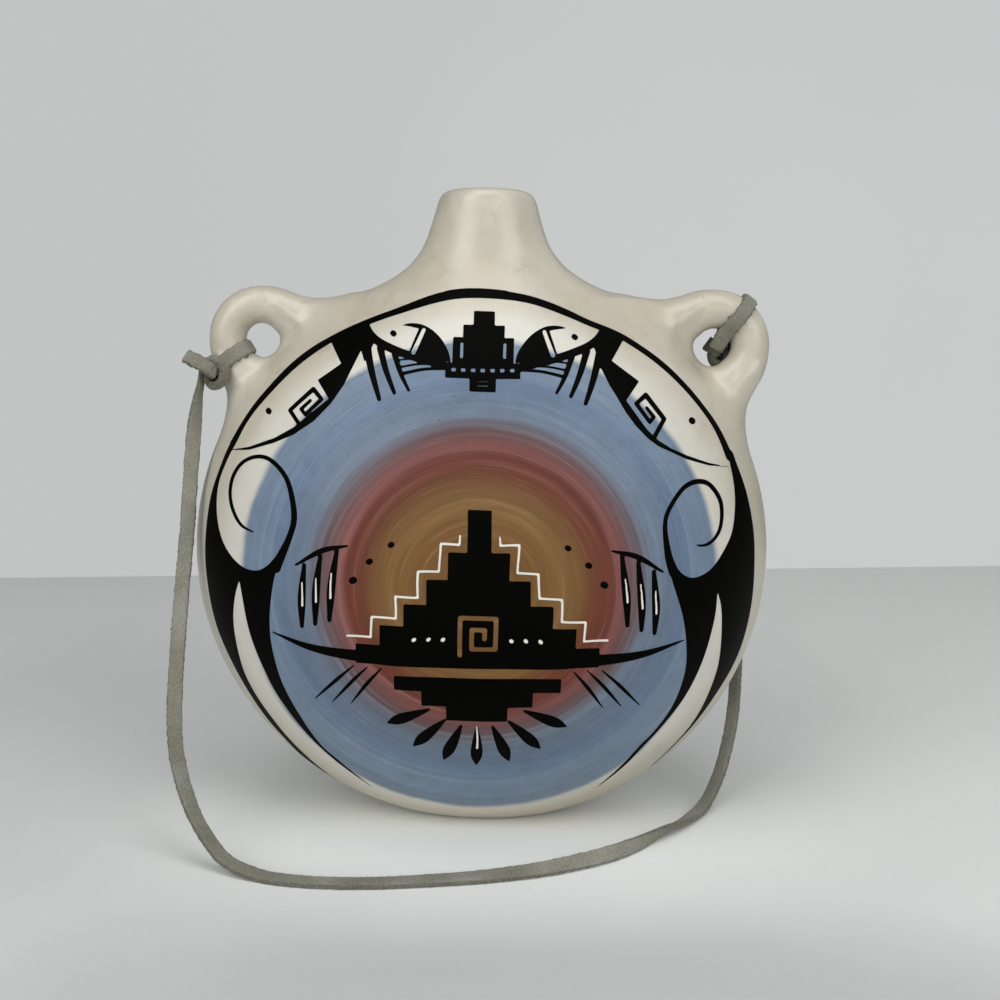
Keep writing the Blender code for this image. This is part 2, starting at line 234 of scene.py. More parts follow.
class Board:
    """The nodes of one material."""

    def __init__(self, name: str, **constants: float | Colour) -> None:
        """Starts a material.

        Args:
            name: The material's name.
            constants: Values for the shader's own sockets, by their names with _ for a space.
        """
        self.material = bpy.data.materials.new(name)
        self.material.use_nodes = True
        self.tree = self.material.node_tree
        self.shader = self.tree.nodes["Principled BSDF"]
        for socket, value in constants.items():
            self.feed(self.shader.inputs[socket.replace("_", " ")], value)

    def feed(self, socket: bpy.types.NodeSocket, value: Fed) -> None:
        """Links a signal or a socket into the socket, or sets its plain value."""
        if isinstance(value, Signal):
            self.tree.links.new(value.socket, socket)
        elif isinstance(value, bpy.types.NodeSocket):
            self.tree.links.new(value, socket)
        elif socket.type == "RGBA" and len(value) == 3:
            socket.default_value = (*value, 1.0)
        else:
            socket.default_value = value

    def node(
        self, kind: str, settings: dict[str, object], inputs: dict[str | int, Fed]
    ) -> bpy.types.Node:
        """Adds a node: its settings first, then the values or links of its sockets."""
        made = self.tree.nodes.new(kind)
        for name, value in settings.items():
            setattr(made, name, value)
        for key, value in inputs.items():
            self.feed(made.inputs[key], value)
        return made

    def place(self) -> bpy.types.NodeSocket:
        """The place on the piece in millimetres, from its Object coordinates."""
        coordinates = self.node("ShaderNodeTexCoord", {}, {}).outputs["Object"]
        inputs = {0: coordinates, "Scale": 1.0 / MM}
        return self.node("ShaderNodeVectorMath", {"operation": "SCALE"}, inputs).outputs[0]

    def split(self, vector: bpy.types.NodeSocket) -> tuple[Signal, Signal, Signal]:
        """The three numbers of a vector."""
        parts = self.node("ShaderNodeSeparateXYZ", {}, {0: vector}).outputs
        return tuple(Signal(self, part) for part in parts)

    def join(self, x: Fed, y: Fed, z: Fed) -> bpy.types.NodeSocket:
        """A vector of three numbers."""
        return self.node("ShaderNodeCombineXYZ", {}, {0: x, 1: y, 2: z}).outputs[0]

    def noise(
        self, place: bpy.types.NodeSocket, size: float, detail: float = 2.0, rough: float = 0.5
    ) -> Signal:
        """Soft noise from 0 to 1 whose blobs are about as big as size, in the place's units."""
        inputs = {"Vector": place, "Scale": 1.0 / size, "Detail": detail, "Roughness": rough}
        return Signal(self, self.node("ShaderNodeTexNoise", {}, inputs).outputs[0])

    def cells(self, place: bpy.types.NodeSocket, size: float) -> Signal:
        """Distance to the nearest of many scattered points, in cells of that size."""
        inputs = {"Vector": place, "Scale": 1.0 / size}
        return Signal(self, self.node("ShaderNodeTexVoronoi", {}, inputs).outputs["Distance"])

    def mark(self, name: str) -> Signal:
        """A number that the mesh keeps for each vertex."""
        settings = {"attribute_name": name}
        return Signal(self, self.node("ShaderNodeAttribute", settings, {}).outputs["Fac"])

    def mix(self, share: Fed, first: Fed, second: Fed, blend: str = "MIX") -> bpy.types.NodeSocket:
        """The first colour where share is 0 and the second, or its blend, where it is 1."""
        node = self.node("ShaderNodeMix", {"data_type": "RGBA", "blend_type": blend}, {})
        sockets = (node.inputs[0], node.inputs[6], node.inputs[7])
        for socket, value in zip(sockets, (share, first, second)):
            self.feed(socket, value)
        return node.outputs[2]

    def ramp(self, share: Signal, stops: Sequence[tuple[float, Colour]]) -> bpy.types.NodeSocket:
        """A colour that runs through the stops, each a place from 0 to 1 and its colour."""
        node = self.node("ShaderNodeValToRGB", {}, {0: share})
        elements = node.color_ramp.elements
        elements[0].position, elements[1].position = stops[0][0], stops[-1][0]
        for place, _ in stops[1:-1]:
            elements.new(place)
        for element, (_, colour) in zip(elements, stops):
            element.color = (*colour, 1.0)
        return node.outputs[0]

    def lay_over(self, share: Fed, over: dict[str, Fed]) -> None:
        """Lays a second Principled shader with the inputs `over` on the first, by a share."""
        second = self.node("ShaderNodeBsdfPrincipled", {}, over)
        inputs = {0: share, 1: self.shader.outputs[0], 2: second.outputs[0]}
        mixed = self.node("ShaderNodeMixShader", {}, inputs)
        self.tree.links.new(mixed.outputs[0], self.tree.nodes["Material Output"].inputs["Surface"])

    def show_camera(self, colour: Fed) -> None:
        """Lets camera rays see the plain colour, while all other rays meet the lit surface."""
        seen = self.node("ShaderNodeLightPath", {}, {}).outputs["Is Camera Ray"]
        glow = {"Emission Color": colour, "Emission Strength": 1.0}
        self.lay_over(seen, {"Base Color": (0.0, 0.0, 0.0), "Specular IOR Level": 0.0, **glow})

    def coat(self, share: Signal, colour: Fed, roughness: Fed, gloss: float) -> None:
        """Lays a second finish over the finished surface, on the same relief.

        Args:
            share: How much of the second finish covers the first.
            colour: Its base colour.
            roughness: Its roughness.
            gloss: Its specular level.
        """
        relief = self.shader.inputs["Normal"].links[0].from_socket
        finish = {"Base Color": colour, "Roughness": roughness, "Specular IOR Level": gloss}
        self.lay_over(share, {**finish, "Normal": relief})

    def finish(
        self, colour: Fed, roughness: Fed, height: Signal, depth: float, strength: float = 1.0
    ) -> bpy.types.Material:
        """Feeds the shader.

        Args:
            colour: The base colour.
            roughness: The roughness.
            height: The relief, where 1 is high.
            depth: What a height of 1 stands for, in millimetres.
            strength: How much of the relief shows.

        Returns:
            The finished material.
        """
        inputs = {"Height": height, "Distance": depth * MM, "Strength": strength}
        relief = self.node("ShaderNodeBump", {}, inputs)
        self.feed(self.shader.inputs["Base Color"], colour)
        self.feed(self.shader.inputs["Roughness"], roughness)
        self.feed(self.shader.inputs["Normal"], relief.outputs[0])
        return self.material


@dataclass(frozen=True)
class WheelBand:
    """One stop of the coloured bands that the potter brushed on the turning wheel."""

    radius: float
    colour: Colour


@dataclass(frozen=True)
class SlipFinish:
    """Burnished cream slip, with the wheel-brushed colours on the middle of the front."""

    cream: Colour = srgb(197, 192, 176)
    warm: Colour = srgb(190, 182, 164)
    pale: Colour = srgb(210, 207, 198)
    speck: Colour = srgb(118, 108, 92)
    stain: Colour = srgb(150, 138, 118)
    # darker slip for the painted shade outside the painted border
    shaded_slip: Colour = srgb(172, 165, 149)
    dusty: Colour = srgb(196, 184, 172)
    scuffed: Colour = srgb(70, 68, 66)
    middle: tuple[float, float] = (0.0, 69.0)
    # Worked out by a script that compared the photograph with a render, then rounded
    bands: tuple[WheelBand, ...] = (
        WheelBand(0.0, srgb(100, 72, 34)),
        WheelBand(15.0, srgb(112, 77, 34)),
        WheelBand(20.0, srgb(120, 88, 46)),
        WheelBand(24.0, srgb(110, 76, 38)),
        WheelBand(27.0, srgb(100, 54, 29)),
        WheelBand(31.0, srgb(99, 46, 33)),
        WheelBand(33.5, srgb(119, 71, 67)),
        WheelBand(36.5, srgb(97, 72, 73)),
        WheelBand(41.0, srgb(102, 114, 130)),
        WheelBand(49.0, srgb(98, 117, 142)),
        WheelBand(54.0, srgb(110, 127, 146)),
    )
    wander: tuple[float, float] = (3.6, 3.2)  # how far wide and narrow waves shift the bands
    blue: tuple[float, float] = (37.0, 43.0)  # radii between which the blue sets in
    edge: float = 58.0  # where the blue ends on the sides and the top
    edge_low: float = 62.4  # and under the middle
    edge_wander: tuple[float, float] = (1.4, 1.0)  # how far brush strokes and noise move its edge
    edge_soft: float = 0.9
    reach: float = 75.0  # radius that the ramp of bands ends at
    paint_gloss: float = 0.3
    border: tuple[float, float] = (61.0, 68.0)  # radii between which the paler slip inside turns into the painted-shade slip outside
    pale_and_lit_inside: float = 0.7  # how far the slip inside the border is paler: partly its own paler slip, partly painted light
    shade_outside: float = 0.2  # how far the slip outside it is darkened: painted shade on shoulders, neck and ears
    relief: float = 0.3

    def wheel(self, board: Board, place: bpy.types.NodeSocket) -> tuple[bpy.types.NodeSocket, Signal]:
        """The bands' colour, and how much of it covers the slip.

        The radius is measured from the bands' middle and shifted a little by noise that hardly
        changes round the circle but quickly across it, which draws the brush's streaks.
        """
        x, y, z = board.split(place)
        across = x - self.middle[0]
        up = z - self.middle[1]
        radius = (across * across + up * up + 0.01).root()
        east, north = across / radius, up / radius

        def rings(fine: float, turning: float, detail: float) -> Signal:
            """Noise with `fine` waves to a millimetre outwards and few round the circle."""
            where = board.join(radius * fine, east * turning, north * turning)
            return board.noise(where, 1.0, detail, 0.6)

        broad, stroke, hair = rings(0.2, 0.7, 2.0), rings(0.62, 0.6, 3.0), rings(2.6, 1.0, 3.0)
        shifted = radius + (broad - 0.5) * self.wander[0] + (stroke - 0.5) * self.wander[1]
        colour = board.ramp(
            shifted / self.reach, [(band.radius / self.reach, band.colour) for band in self.bands]
        )
        blue = radius.between(*self.blue)
        dab = board.noise(place, 5.0, 4.0, 0.65)
        streaks = (stroke - 0.5) * 0.8 + (hair - 0.5) * 0.6
        tone = 1.0 + streaks * (1.0 - blue * 0.45) + (broad - 0.5) * 0.3 + (dab - 0.5) * blue * 0.45
        colour = board.mix(1.0, colour, board.join(tone, tone, tone), "MULTIPLY")
        pale = stroke.between(0.57, 0.7) * 0.05 + hair.between(0.6, 0.74) * 0.1
        colour = board.mix(pale, colour, self.dusty)
        scuff = board.noise(place, 1.1, 3.0, 0.7).between(0.62, 0.7)
        colour = board.mix(scuff * 0.28, colour, self.scuffed)
        fleck = board.cells(place, 3.4).between(0.1, 0.05) * dab.between(0.5, 0.6)
        colour = board.mix(fleck * 0.6, colour, self.scuffed)
        low = north.between(-0.2, -1.0)
        edge = radius + (stroke - 0.5) * self.edge_wander[0]
        edge = edge + (board.noise(place, 9.0) - 0.5) * self.edge_wander[1]
        edge = edge - low * (self.edge_low - self.edge)
        cover = 1.0 - edge.between(self.edge - self.edge_soft, self.edge + self.edge_soft)
        return colour, cover * (0.0 - y).between(0.5, 2.0)

    def material(self) -> bpy.types.Material:
        """The slip's material."""
        board = Board("cream_slip", Specular_IOR_Level=0.8)
        place = board.place()
        cloud = board.noise(place, 22.0, 3.0, 0.55)
        mottle = board.noise(place, 4.5, 4.0, 0.6)
        grain = board.noise(place, 0.55, 3.0, 0.6)
        clay = board.mix(cloud.between(0.3, 0.7), self.cream, self.warm)
        clay = board.mix(mottle.between(0.48, 0.78) * 0.45, clay, self.pale)
        specks = board.cells(place, 2.1).between(0.13, 0.06) * mottle.between(0.47, 0.6)
        clay = board.mix(board.noise(place, 5.5, 4.0, 0.65).between(0.56, 0.72) * 0.3, clay, self.stain)
        clay = board.mix(specks * 0.6, clay, self.speck)
        clay = board.mix(grain.between(0.3, 0.75) * 0.07, clay, self.speck)
        wheel, cover = self.wheel(board, place)
        x, _, z = board.split(place)
        out = (x * x + (z - self.middle[1]) * (z - self.middle[1])).root()
        # paler slip inside the border, partly painted light; painted shade outside it
        inner = board.mix(self.pale_and_lit_inside, clay, self.pale)
        outer = board.mix(self.shade_outside, clay, self.shaded_slip)
        clay = board.mix(out.between(*self.border), inner, outer)
        burnish = board.noise(board.join(*self.stretched(board, place)), 1.0, 3.0, 0.6)
        dents = board.noise(place, 6.5, 3.0, 0.5)
        roughness = 0.2 + mottle * 0.14 + grain * 0.08
        height = dents * 0.7 + mottle * 0.2 + burnish * 0.06 + grain * 0.04 - specks * 0.1
        material = board.finish(clay, roughness, height, self.relief, 0.8)
        board.coat(cover, wheel, 0.3 + mottle * 0.16, self.paint_gloss)
        return material

    def stretched(self, board: Board, place: bpy.types.NodeSocket) -> tuple[Signal, Signal, Signal]:
        """The place with its height squeezed, so that noise on it runs in upright strokes."""
        x, y, z = board.split(place)
        return x * 0.55, y * 0.55, z * 0.12


@dataclass(frozen=True)
class BrushedPaint:
    """Paint brushed on the slip: mineral black, or the white of its fine lines."""

    name: str
    full: Colour
    thin: Colour
    roughness: float
    gloss: float

    def material(self) -> bpy.types.Material:
        """The paint's material: brush streaks, thin spots and a little relief."""
        board = Board(self.name, Specular_IOR_Level=self.gloss)
        place = board.place()
        x, y, z = board.split(place)
        streaks = board.noise(board.join(x * 0.3, y * 0.3, z * 1.6), 1.0, 3.0, 0.6)
        grain = board.noise(place, 0.5, 3.0, 0.6)
        cloud = board.noise(place, 8.0, 2.0)
        thin = streaks.between(0.52, 0.85) * 0.5 + cloud.between(0.5, 0.8) * 0.4 + grain * 0.08
        colour = board.mix(thin, self.full, self.thin)
        roughness = self.roughness + streaks * 0.14 + grain * 0.06
        return board.finish(colour, roughness, grain * 0.4 + streaks * 0.6, 0.03, 0.6)


BLACK = BrushedPaint(
    "mineral_black", full=srgb(1, 1, 0), thin=srgb(7, 7, 6), roughness=0.4, gloss=0.035
)
WHITE = BrushedPaint(
    "white_line", full=srgb(226, 222, 212), thin=srgb(196, 190, 178), roughness=0.5, gloss=0.3
)


@dataclass(frozen=True)
class SuedeFinish:
    """Grey suede: a short nap, darker and rougher on the cut edges, with painted shade in the knots."""

    nap: Colour = srgb(135, 133, 121)
    shade: Colour = srgb(113, 111, 98)
    pale: Colour = srgb(158, 156, 146)
    cut: Colour = srgb(88, 86, 76)
    # colour of the painted shade in the knots' hollows and behind the right ear's hole
    tie_shade: Colour = srgb(44, 40, 32)

    def material(self) -> bpy.types.Material:
        """The suede's material."""
        board = Board("grey_suede", Specular_IOR_Level=0.15, Sheen_Weight=0.2, Sheen_Roughness=0.5)
        place = board.place()
        fibre = board.noise(place, 0.42, 4.0, 0.75)
        tuft = board.noise(place, 0.7, 3.0, 0.6)
        cloud = board.noise(place, 14.0, 2.0, 0.5)
        cut = board.mark("cut_edge").between(0.4, 0.95)
        colour = board.mix(cloud.between(0.25, 0.75), self.shade, self.nap)
        colour = board.mix(cloud.between(0.5, 0.75) * 0.35, colour, self.pale)
        colour = board.mix(cut * (0.4 + tuft.between(0.35, 0.65) * 0.4), colour, self.cut)
        colour = board.mix(fibre.between(0.5, 0.66) * 0.5, colour, self.pale)
        colour = board.mix(fibre.between(0.5, 0.34) * 0.5, colour, self.cut)
        # painted shade where the ties are marked dark
        colour = board.mix(board.mark("tie_shade") * (0.8 + fibre * 0.3).least(1.0), colour, self.tie_shade)
        height = fibre * 0.6 + tuft * (0.3 + cut * 0.6)
        return board.finish(colour, 0.88 + fibre * 0.1, height, 0.16, 0.8)


@dataclass(frozen=True)
class WallFinish:
    """The pale wall, whose own colour the camera sees without any lamp on it."""

    left: Colour = srgb(193, 196, 195)
    right: Colour = srgb(201, 203, 202)
    high: Colour = srgb(193, 196, 195)

    def material(self) -> bpy.types.Material:
        """A matt wall, painted duller to the left and at the top as shade."""
        board = Board("pale_wall", Specular_IOR_Level=0.2)
        place = board.place()
        x, _, z = board.split(place)
        cloud = board.noise(place, 260.0, 3.0, 0.5)
        # painted shade: duller to the left and towards the top
        colour = board.mix(x.between(-500.0, 300.0), self.left, self.right)
        colour = board.mix(z.between(250.0, 800.0) * 0.6, colour, self.high)
        colour = board.mix(cloud.between(0.35, 0.65) * 0.12, colour, self.high)
        board.show_camera(colour)
        return board.finish(colour, 0.7 + cloud * 0.1, cloud, 0.02, 0.2)


@dataclass(frozen=True)
class Pool:
    """An oval of painted light where its colour is paler and of painted shadow where it is duller, with
    a soft, uneven edge.
    """

    middle: Point
    half: Point
    span: Point  # how many half sizes out the shade starts and is full
    share: float
    colour: Colour

    def cover(self, x: Signal, y: Signal, uneven: Signal) -> Signal:
        """How much of the painted tone shows at a place."""
        east = (x - self.middle[0]) / self.half[0]
        north = (y - self.middle[1]) / self.half[1]
        far = (east**2.0 + north**2.0 + 0.001).root() + uneven
        return far.between(*self.span) * self.share


@dataclass(frozen=True)
class TableFinish:
    """The white table, with painted light at the canteen's foot and on the right, and painted shadow
    near the viewer and far off to the left.
    """

    colour: Colour = srgb(224, 227, 226)
    # tones of painted light and painted shadow
    glow: Colour = srgb(243, 245, 241)
    shadow_tone: Colour = srgb(203, 205, 204)
    mark: Colour = srgb(150, 150, 145)
    bright_side: tuple[float, float] = (20.0, 170.0)  # from where to where the right gets brighter: painted light
    pools: tuple[Pool, ...] = (
        # painted shadow in front and to the left, and painted light and reflection round the foot
        Pool((25.0, -105.0), (125.0, 48.0), (1.4, 0.45), 1.0, shadow_tone),
        Pool((-150.0, 60.0), (95.0, 130.0), (1.3, 0.3), 0.45, shadow_tone),
        Pool((0.0, -15.0), (92.0, 52.0), (1.3, 0.35), 1.0, glow),
    )

    def material(self) -> bpy.types.Material:
        """A smooth painted board with faint specks."""
        board = Board("white_table", Specular_IOR_Level=0.3)
        place = board.place()
        x, y, _ = board.split(place)
        cloud = board.noise(place, 45.0, 3.0, 0.55)
        grain = board.noise(place, 0.8, 3.0, 0.6)
        uneven = (cloud - 0.5) * 0.5
        colour = board.mix(x.between(*self.bright_side) * 0.55, self.colour, self.glow)
        for pool in self.pools:
            colour = board.mix(pool.cover(x, y, uneven), colour, pool.colour)
        specks = board.cells(place, 9.0).between(0.045, 0.02) * cloud.between(0.45, 0.6)
        colour = board.mix(specks * 0.6 + grain.between(0.35, 0.7) * 0.04, colour, self.mark)
        return board.finish(colour, 0.5 + cloud * 0.1, grain, 0.02, 0.25)


Field = Callable[[Array, Array, Array], Array]


def soft_least(a: Array, b: Array, blend: Array | float) -> Array:
    """The smaller of two distances, rounded where they come within blend of each other.

    With h = max(blend - |a - b|, 0) / blend it is min(a, b) - h^2 * blend / 4, which joins two
    solids with a fillet.
    """
    h = np.maximum(blend - np.abs(a - b), 0.0) / blend
    return np.minimum(a, b) - h * h * blend / 4.0


def soft_most(a: Array, b: Array, blend: float) -> Array:
    """The larger of two distances, rounded likewise: what two solids share."""
    return -soft_least(-a, -b, blend)


@dataclass
class Ear:
    """One ear: a coil of clay bent to an arch, its legs spread on the shoulder."""

    side: int
    node: str
    angle: float  # of the line from the body's middle to the hole, above the horizontal
    ring: float = 9.4  # radius of the coil's centreline round the hole
    coil: float = 4.8
    fill: float = 4.1  # radius of the thinner torus that closes the corners round the hole
    leg: float = 15.0
    root: float = 9.4  # radius of a leg's end in the body
    splay: tuple[float, float] = (math.radians(18.5), math.radians(26.0))  # lower leg, upper leg
    web: float = 5.5  # how far arch and leg melt into each other on the outside
    web_span: float = 2.0  # within which of the ring the web sets in
    no_web: float = 0.05
    corner: float = 2.0  # how far the thinner torus melts into the rest
    fillet: float = 5.0
    hole_fillet: float = 1.5
    fillet_span: tuple[float, float] = (5.0, 13.0)  # from the hole's middle, between the two
    nudge: tuple[float, float] = (0.0, 0.0)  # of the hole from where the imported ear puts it

    def __post_init__(self) -> None:
        """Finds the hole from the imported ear's box, whose side and top the arch touches."""
        low, high = box_mm(self.node)
        reach = self.ring + self.coil
        beside = high[0] - reach if self.side > 0 else low[0] + reach
        self.middle = np.array([beside + self.nudge[0], 0.0, high[2] - reach + self.nudge[1]])
        self.out = np.array([self.side * math.cos(self.angle), 0.0, math.sin(self.angle)])
        self.up = np.array([-self.side * math.sin(self.angle), 0.0, math.cos(self.angle)])

    def flat(self, x: Array, z: Array) -> tuple[Array, Array]:
        """How far a point lies outwards and up along the rim from the hole's middle."""
        dx = x - self.middle[0]
        dz = z - self.middle[2]
        return dx * self.out[0] + dz * self.out[2], dx * self.up[0] + dz * self.up[2]

    def distance(self, x: Array, y: Array, z: Array) -> tuple[Array, Array]:
        """Distance to the ear's surface, and the fillet that joins it to the body there.

        The arch is a half torus, each leg a rod that thickens towards the body, and a thinner
        torus closes the corners round the hole. Near the hole the fillet is small.
        """
        out, up = self.flat(x, z)
        side = np.abs(up)
        bent = np.hypot(out, up) - self.ring
        ended = np.hypot(np.minimum(out, 0.0), side - self.ring)
        arch = np.hypot(np.where(out > 0.0, bent, ended), y) - self.coil
        splay = np.where(up > 0.0, self.splay[1], self.splay[0])
        lean = (-np.cos(splay), np.sin(splay))
        along = np.clip((out * lean[0] + (side - self.ring) * lean[1]) / self.leg, 0.0, 1.0)
        off = np.hypot(out - along * self.leg * lean[0], side - self.ring - along * self.leg * lean[1])
        leg = np.hypot(off, y) - self.coil - (self.root - self.coil) * along
        hole = np.hypot(bent, y) - self.fill
        outside = eased(side, self.ring - self.web_span, self.ring + self.web_span)
        solid = soft_least(arch, leg, self.no_web + self.web * outside)
        far = eased(np.hypot(out, up), *self.fillet_span)
        fillet = self.hole_fillet + (self.fillet - self.hole_fillet) * far
        return soft_least(solid, hole, self.corner), fillet


@dataclass
class ClayBody:
    """The canteen's clay in one skin: a hollow lens, its neck and its two ears."""

    dome_power: float = 2.66
    rim_power: float = 1.68
    squash: float = 0.98  # height over width
    flatter: float = 0.18  # share of its depth that the front lacks low down
    sway: float = 0.6  # how far the low part leans to the right
    sag_span: tuple[float, float] = (0.1, 0.95)  # drop below the middle over which both set in
    top_sway: float = 0.9  # how far the top leans to the right
    top_span: tuple[float, float] = (0.5, 0.95)  # rise above the middle over which that sets in
    wall: float = 5.0
    rim_round: float = 2.0
    foot_round: float = 1.2
    lip_radius: float = 12.35
    lip_round: float = 3.0
    neck_start: float = 2.4  # below the lip's top
    neck_length: float = 22.0
    neck_shares: tuple[float, float] = (-0.2, 1.08)  # of its length that its formula covers
    neck_taper: tuple[float, float] = (6.3, 1.8)
    neck_flare: tuple[float, float] = (8.7, 0.8)
    flare_power: float = 4.2
    flare_lean: float = 1.6  # how far the flare leans to the right
    neck_end: float = 0.6  # share of the body's radius above its middle, where the neck stops
    neck_fillet: float = 4.0
    neck_sweep: float = 8.0  # that the fillet is larger by at the neck's front and back
    sweep_span: tuple[float, float] = (4.0, 28.0)  # from the middle, over which that fades
    bore: float = 7.5
    bore_round: float = 2.2
    bore_end: float = 1 / 3  # share of the body's radius above its middle, where the bore stops
    bore_end_round: float = 2.0
    hollow_fillet: float = 3.0  # between the hollow and the bore
    least_slope: float = 0.012  # of the lens's formula, near its middle
    cell: float = 1.3
    fine_cell: float = 0.95
    fine_depth: float = 17.0  # how far to the front and back of the ears the fine cells reach
    fine_from: float = 106.0  # height from which the cells are fine
    margin: float = 2.0  # of the grid round the clay
    under: float = 1.45  # how far the grid reaches under the table
    ears: list[Ear] = field(default_factory=list)

    def __post_init__(self) -> None:
        """Takes the body's and the neck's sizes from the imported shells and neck."""
        low, high = box_mm("front_shell")
        self.radius = high[0]
        self.depth = -low[1]
        self.centre = high[2] - self.radius * self.squash
        self.top = box_mm("neck")[1][2]
        self.ears = [
            Ear(-1, "left_ear", math.radians(43.5), ring=8.8, coil=4.3, nudge=(0.1, -0.4)),
            Ear(1, "right_ear", math.radians(42.7), coil=4.65, nudge=(0.3, 0.7)),
        ]

    def sag(self, z: Array) -> Array:
        """How far the low part's hand-made unevenness has set in at a height, from 0 to 1."""
        drop = (self.centre - z) / (self.radius * self.squash)
        return eased(drop, *self.sag_span)

    def shift(self, z: Array) -> Array:
        """How far the lens leans to the right at a height."""
        rise = (z - self.centre) / (self.radius * self.squash)
        return self.sway * self.sag(z) + self.top_sway * eased(rise, *self.top_span)

    def lens(self, x: Array, y: Array, z: Array, inset: float) -> Array:
        """Distance to the lens (r / R)^a + (|y| / D)^b = 1, to first order.

        R and D are the radius and depth less the inset. The sum less 1 is divided by the length
        of its slope, and |y| is rounded near 0 so that the rim has no crease. Low down the front
        is flatter and the whole leans aside, so y is stretched there and x moved first.
        """
        wide = self.radius - inset
        deep = self.depth - inset
        shallow = np.where(y < 0.0, 1.0 - self.flatter * self.sag(z), 1.0)
        y = y / shallow
        r = np.hypot(x - self.shift(z), (z - self.centre) / self.squash) + 1e-9
        thick = np.sqrt(y * y + self.rim_round**2)
        level = 1.0 + (self.rim_round / deep) ** self.rim_power
        value = (r / wide) ** self.dome_power + (thick / deep) ** self.rim_power - level
        slope_r = self.dome_power / wide * (r / wide) ** (self.dome_power - 1.0)
        slope_y = self.rim_power / deep * (thick / deep) ** (self.rim_power - 1.0) * y / thick
        return value / np.maximum(np.hypot(slope_r, slope_y / shallow), self.least_slope)

    def neck(self, x: Array, y: Array, z: Array) -> Array:
        """Distance to the neck, an oval whose half widths grow from the lip down.

        At share s of its length a half width is lip + taper * s + flare * s^p.
        """
        s = np.clip((self.top - self.neck_start - z) / self.neck_length, *self.neck_shares)
        steep = np.maximum(s, 0.0)
        flare = steep**self.flare_power
        x = x - self.flare_lean * flare
        wide = self.lip_radius + self.neck_taper[0] * s + self.neck_flare[0] * flare
        deep = self.lip_radius + self.neck_taper[1] * s + self.neck_flare[1] * flare
        q = np.hypot(x / wide, y / deep) + 1e-9
        grow = self.neck_flare[0] * self.flare_power * steep ** (self.flare_power - 1.0)
        lean = (self.neck_taper[0] + grow) / self.neck_length * (x / wide) ** 2 / q**2
        slope = np.sqrt((x / wide**2) ** 2 + (y / deep**2) ** 2) / q
        side = (q - 1.0) / np.maximum(slope, 1e-3) / np.sqrt(1.0 + lean**2)
        end = self.centre + self.neck_end * self.radius - z
        return soft_most(soft_most(side, z - self.top, self.lip_round), end, self.lip_round)

    def field(self, x: Array, y: Array, z: Array) -> Array:
        """Signed distance to the clay's surface, below 0 inside the clay.

        Lens, neck and ears are joined with fillets, cut flat at the foot and hollowed by a
        smaller lens and the bore.
        """
        fillet = self.neck_fillet + self.neck_sweep * (1.0 - eased(np.abs(x), *self.sweep_span))
        solid = soft_least(self.lens(x, y, z, 0.0), self.neck(x, y, z), fillet)
        for ear in self.ears:
            near, fillet = ear.distance(x, y, z)
            solid = soft_least(solid, near, fillet)
        solid = soft_most(solid, -z, self.foot_round)
        hollow = self.lens(x, y, z, self.wall)
        bore = np.hypot(x, y) - self.bore
        bore_end = self.centre + self.radius * self.bore_end - z
        bore = soft_most(bore, bore_end, self.bore_end_round)
        empty = soft_least(hollow, bore, self.hollow_fillet)
        return soft_most(solid, -empty, self.bore_round)

    def slope(self, points: Array) -> Array:
        """The field's slope at the points, from centred differences."""
        h = 0.02
        steps = np.eye(3) * h
        parts = [
            (self.field(*(points + step).T) - self.field(*(points - step).T)) / (2.0 * h)
            for step in steps
        ]
        return np.stack(parts, axis=1)

    def settle(self, points: Array, rounds: int = 3) -> Array:
        """Moves points onto the skin along the field's slope, by short steps."""
        flattest, longest = 0.05, 1.5
        for _ in range(rounds):
            slope = self.slope(points)
            value = self.field(*points.T)
            size = np.maximum((slope**2).sum(axis=1), flattest)
            points = points - slope * np.clip(value / size, -longest, longest)[:, None]
        return points

    def axes(self) -> tuple[Array, Array, Array]:
        """Grid lines across X, Y and Z, closer together round the neck and the ears."""

        def spread(*runs: tuple[float, float, float]) -> Array:
            """Grid lines over runs of (from, to, spacing)."""
            parts = [np.linspace(a, b, int(round((b - a) / step)) + 1)[:-1] for a, b, step in runs]
            return np.concatenate([*parts, [runs[-1][1]]])

        x, y, z = self.radius + self.margin, self.depth + self.margin, self.top + self.margin
        near, cell, fine = self.fine_depth, self.cell, self.fine_cell
        return (
            spread((-x, x, cell)),
            spread((-y, -near, cell), (-near, near, fine), (near, y, cell)),
            spread((-self.under, self.fine_from, cell), (self.fine_from, z, fine)),
        )

    def build(self, finish: SlipFinish) -> bpy.types.Object:
        """The clay skin, dressed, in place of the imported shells, neck and ears."""
        points, faces = surface_net(self.field, self.axes())
        points = self.settle(points)
        piece = mesh_piece("clay_skin", points, [faces], unit(self.slope(points)))
        piece.data.materials.append(finish.material())
        return piece


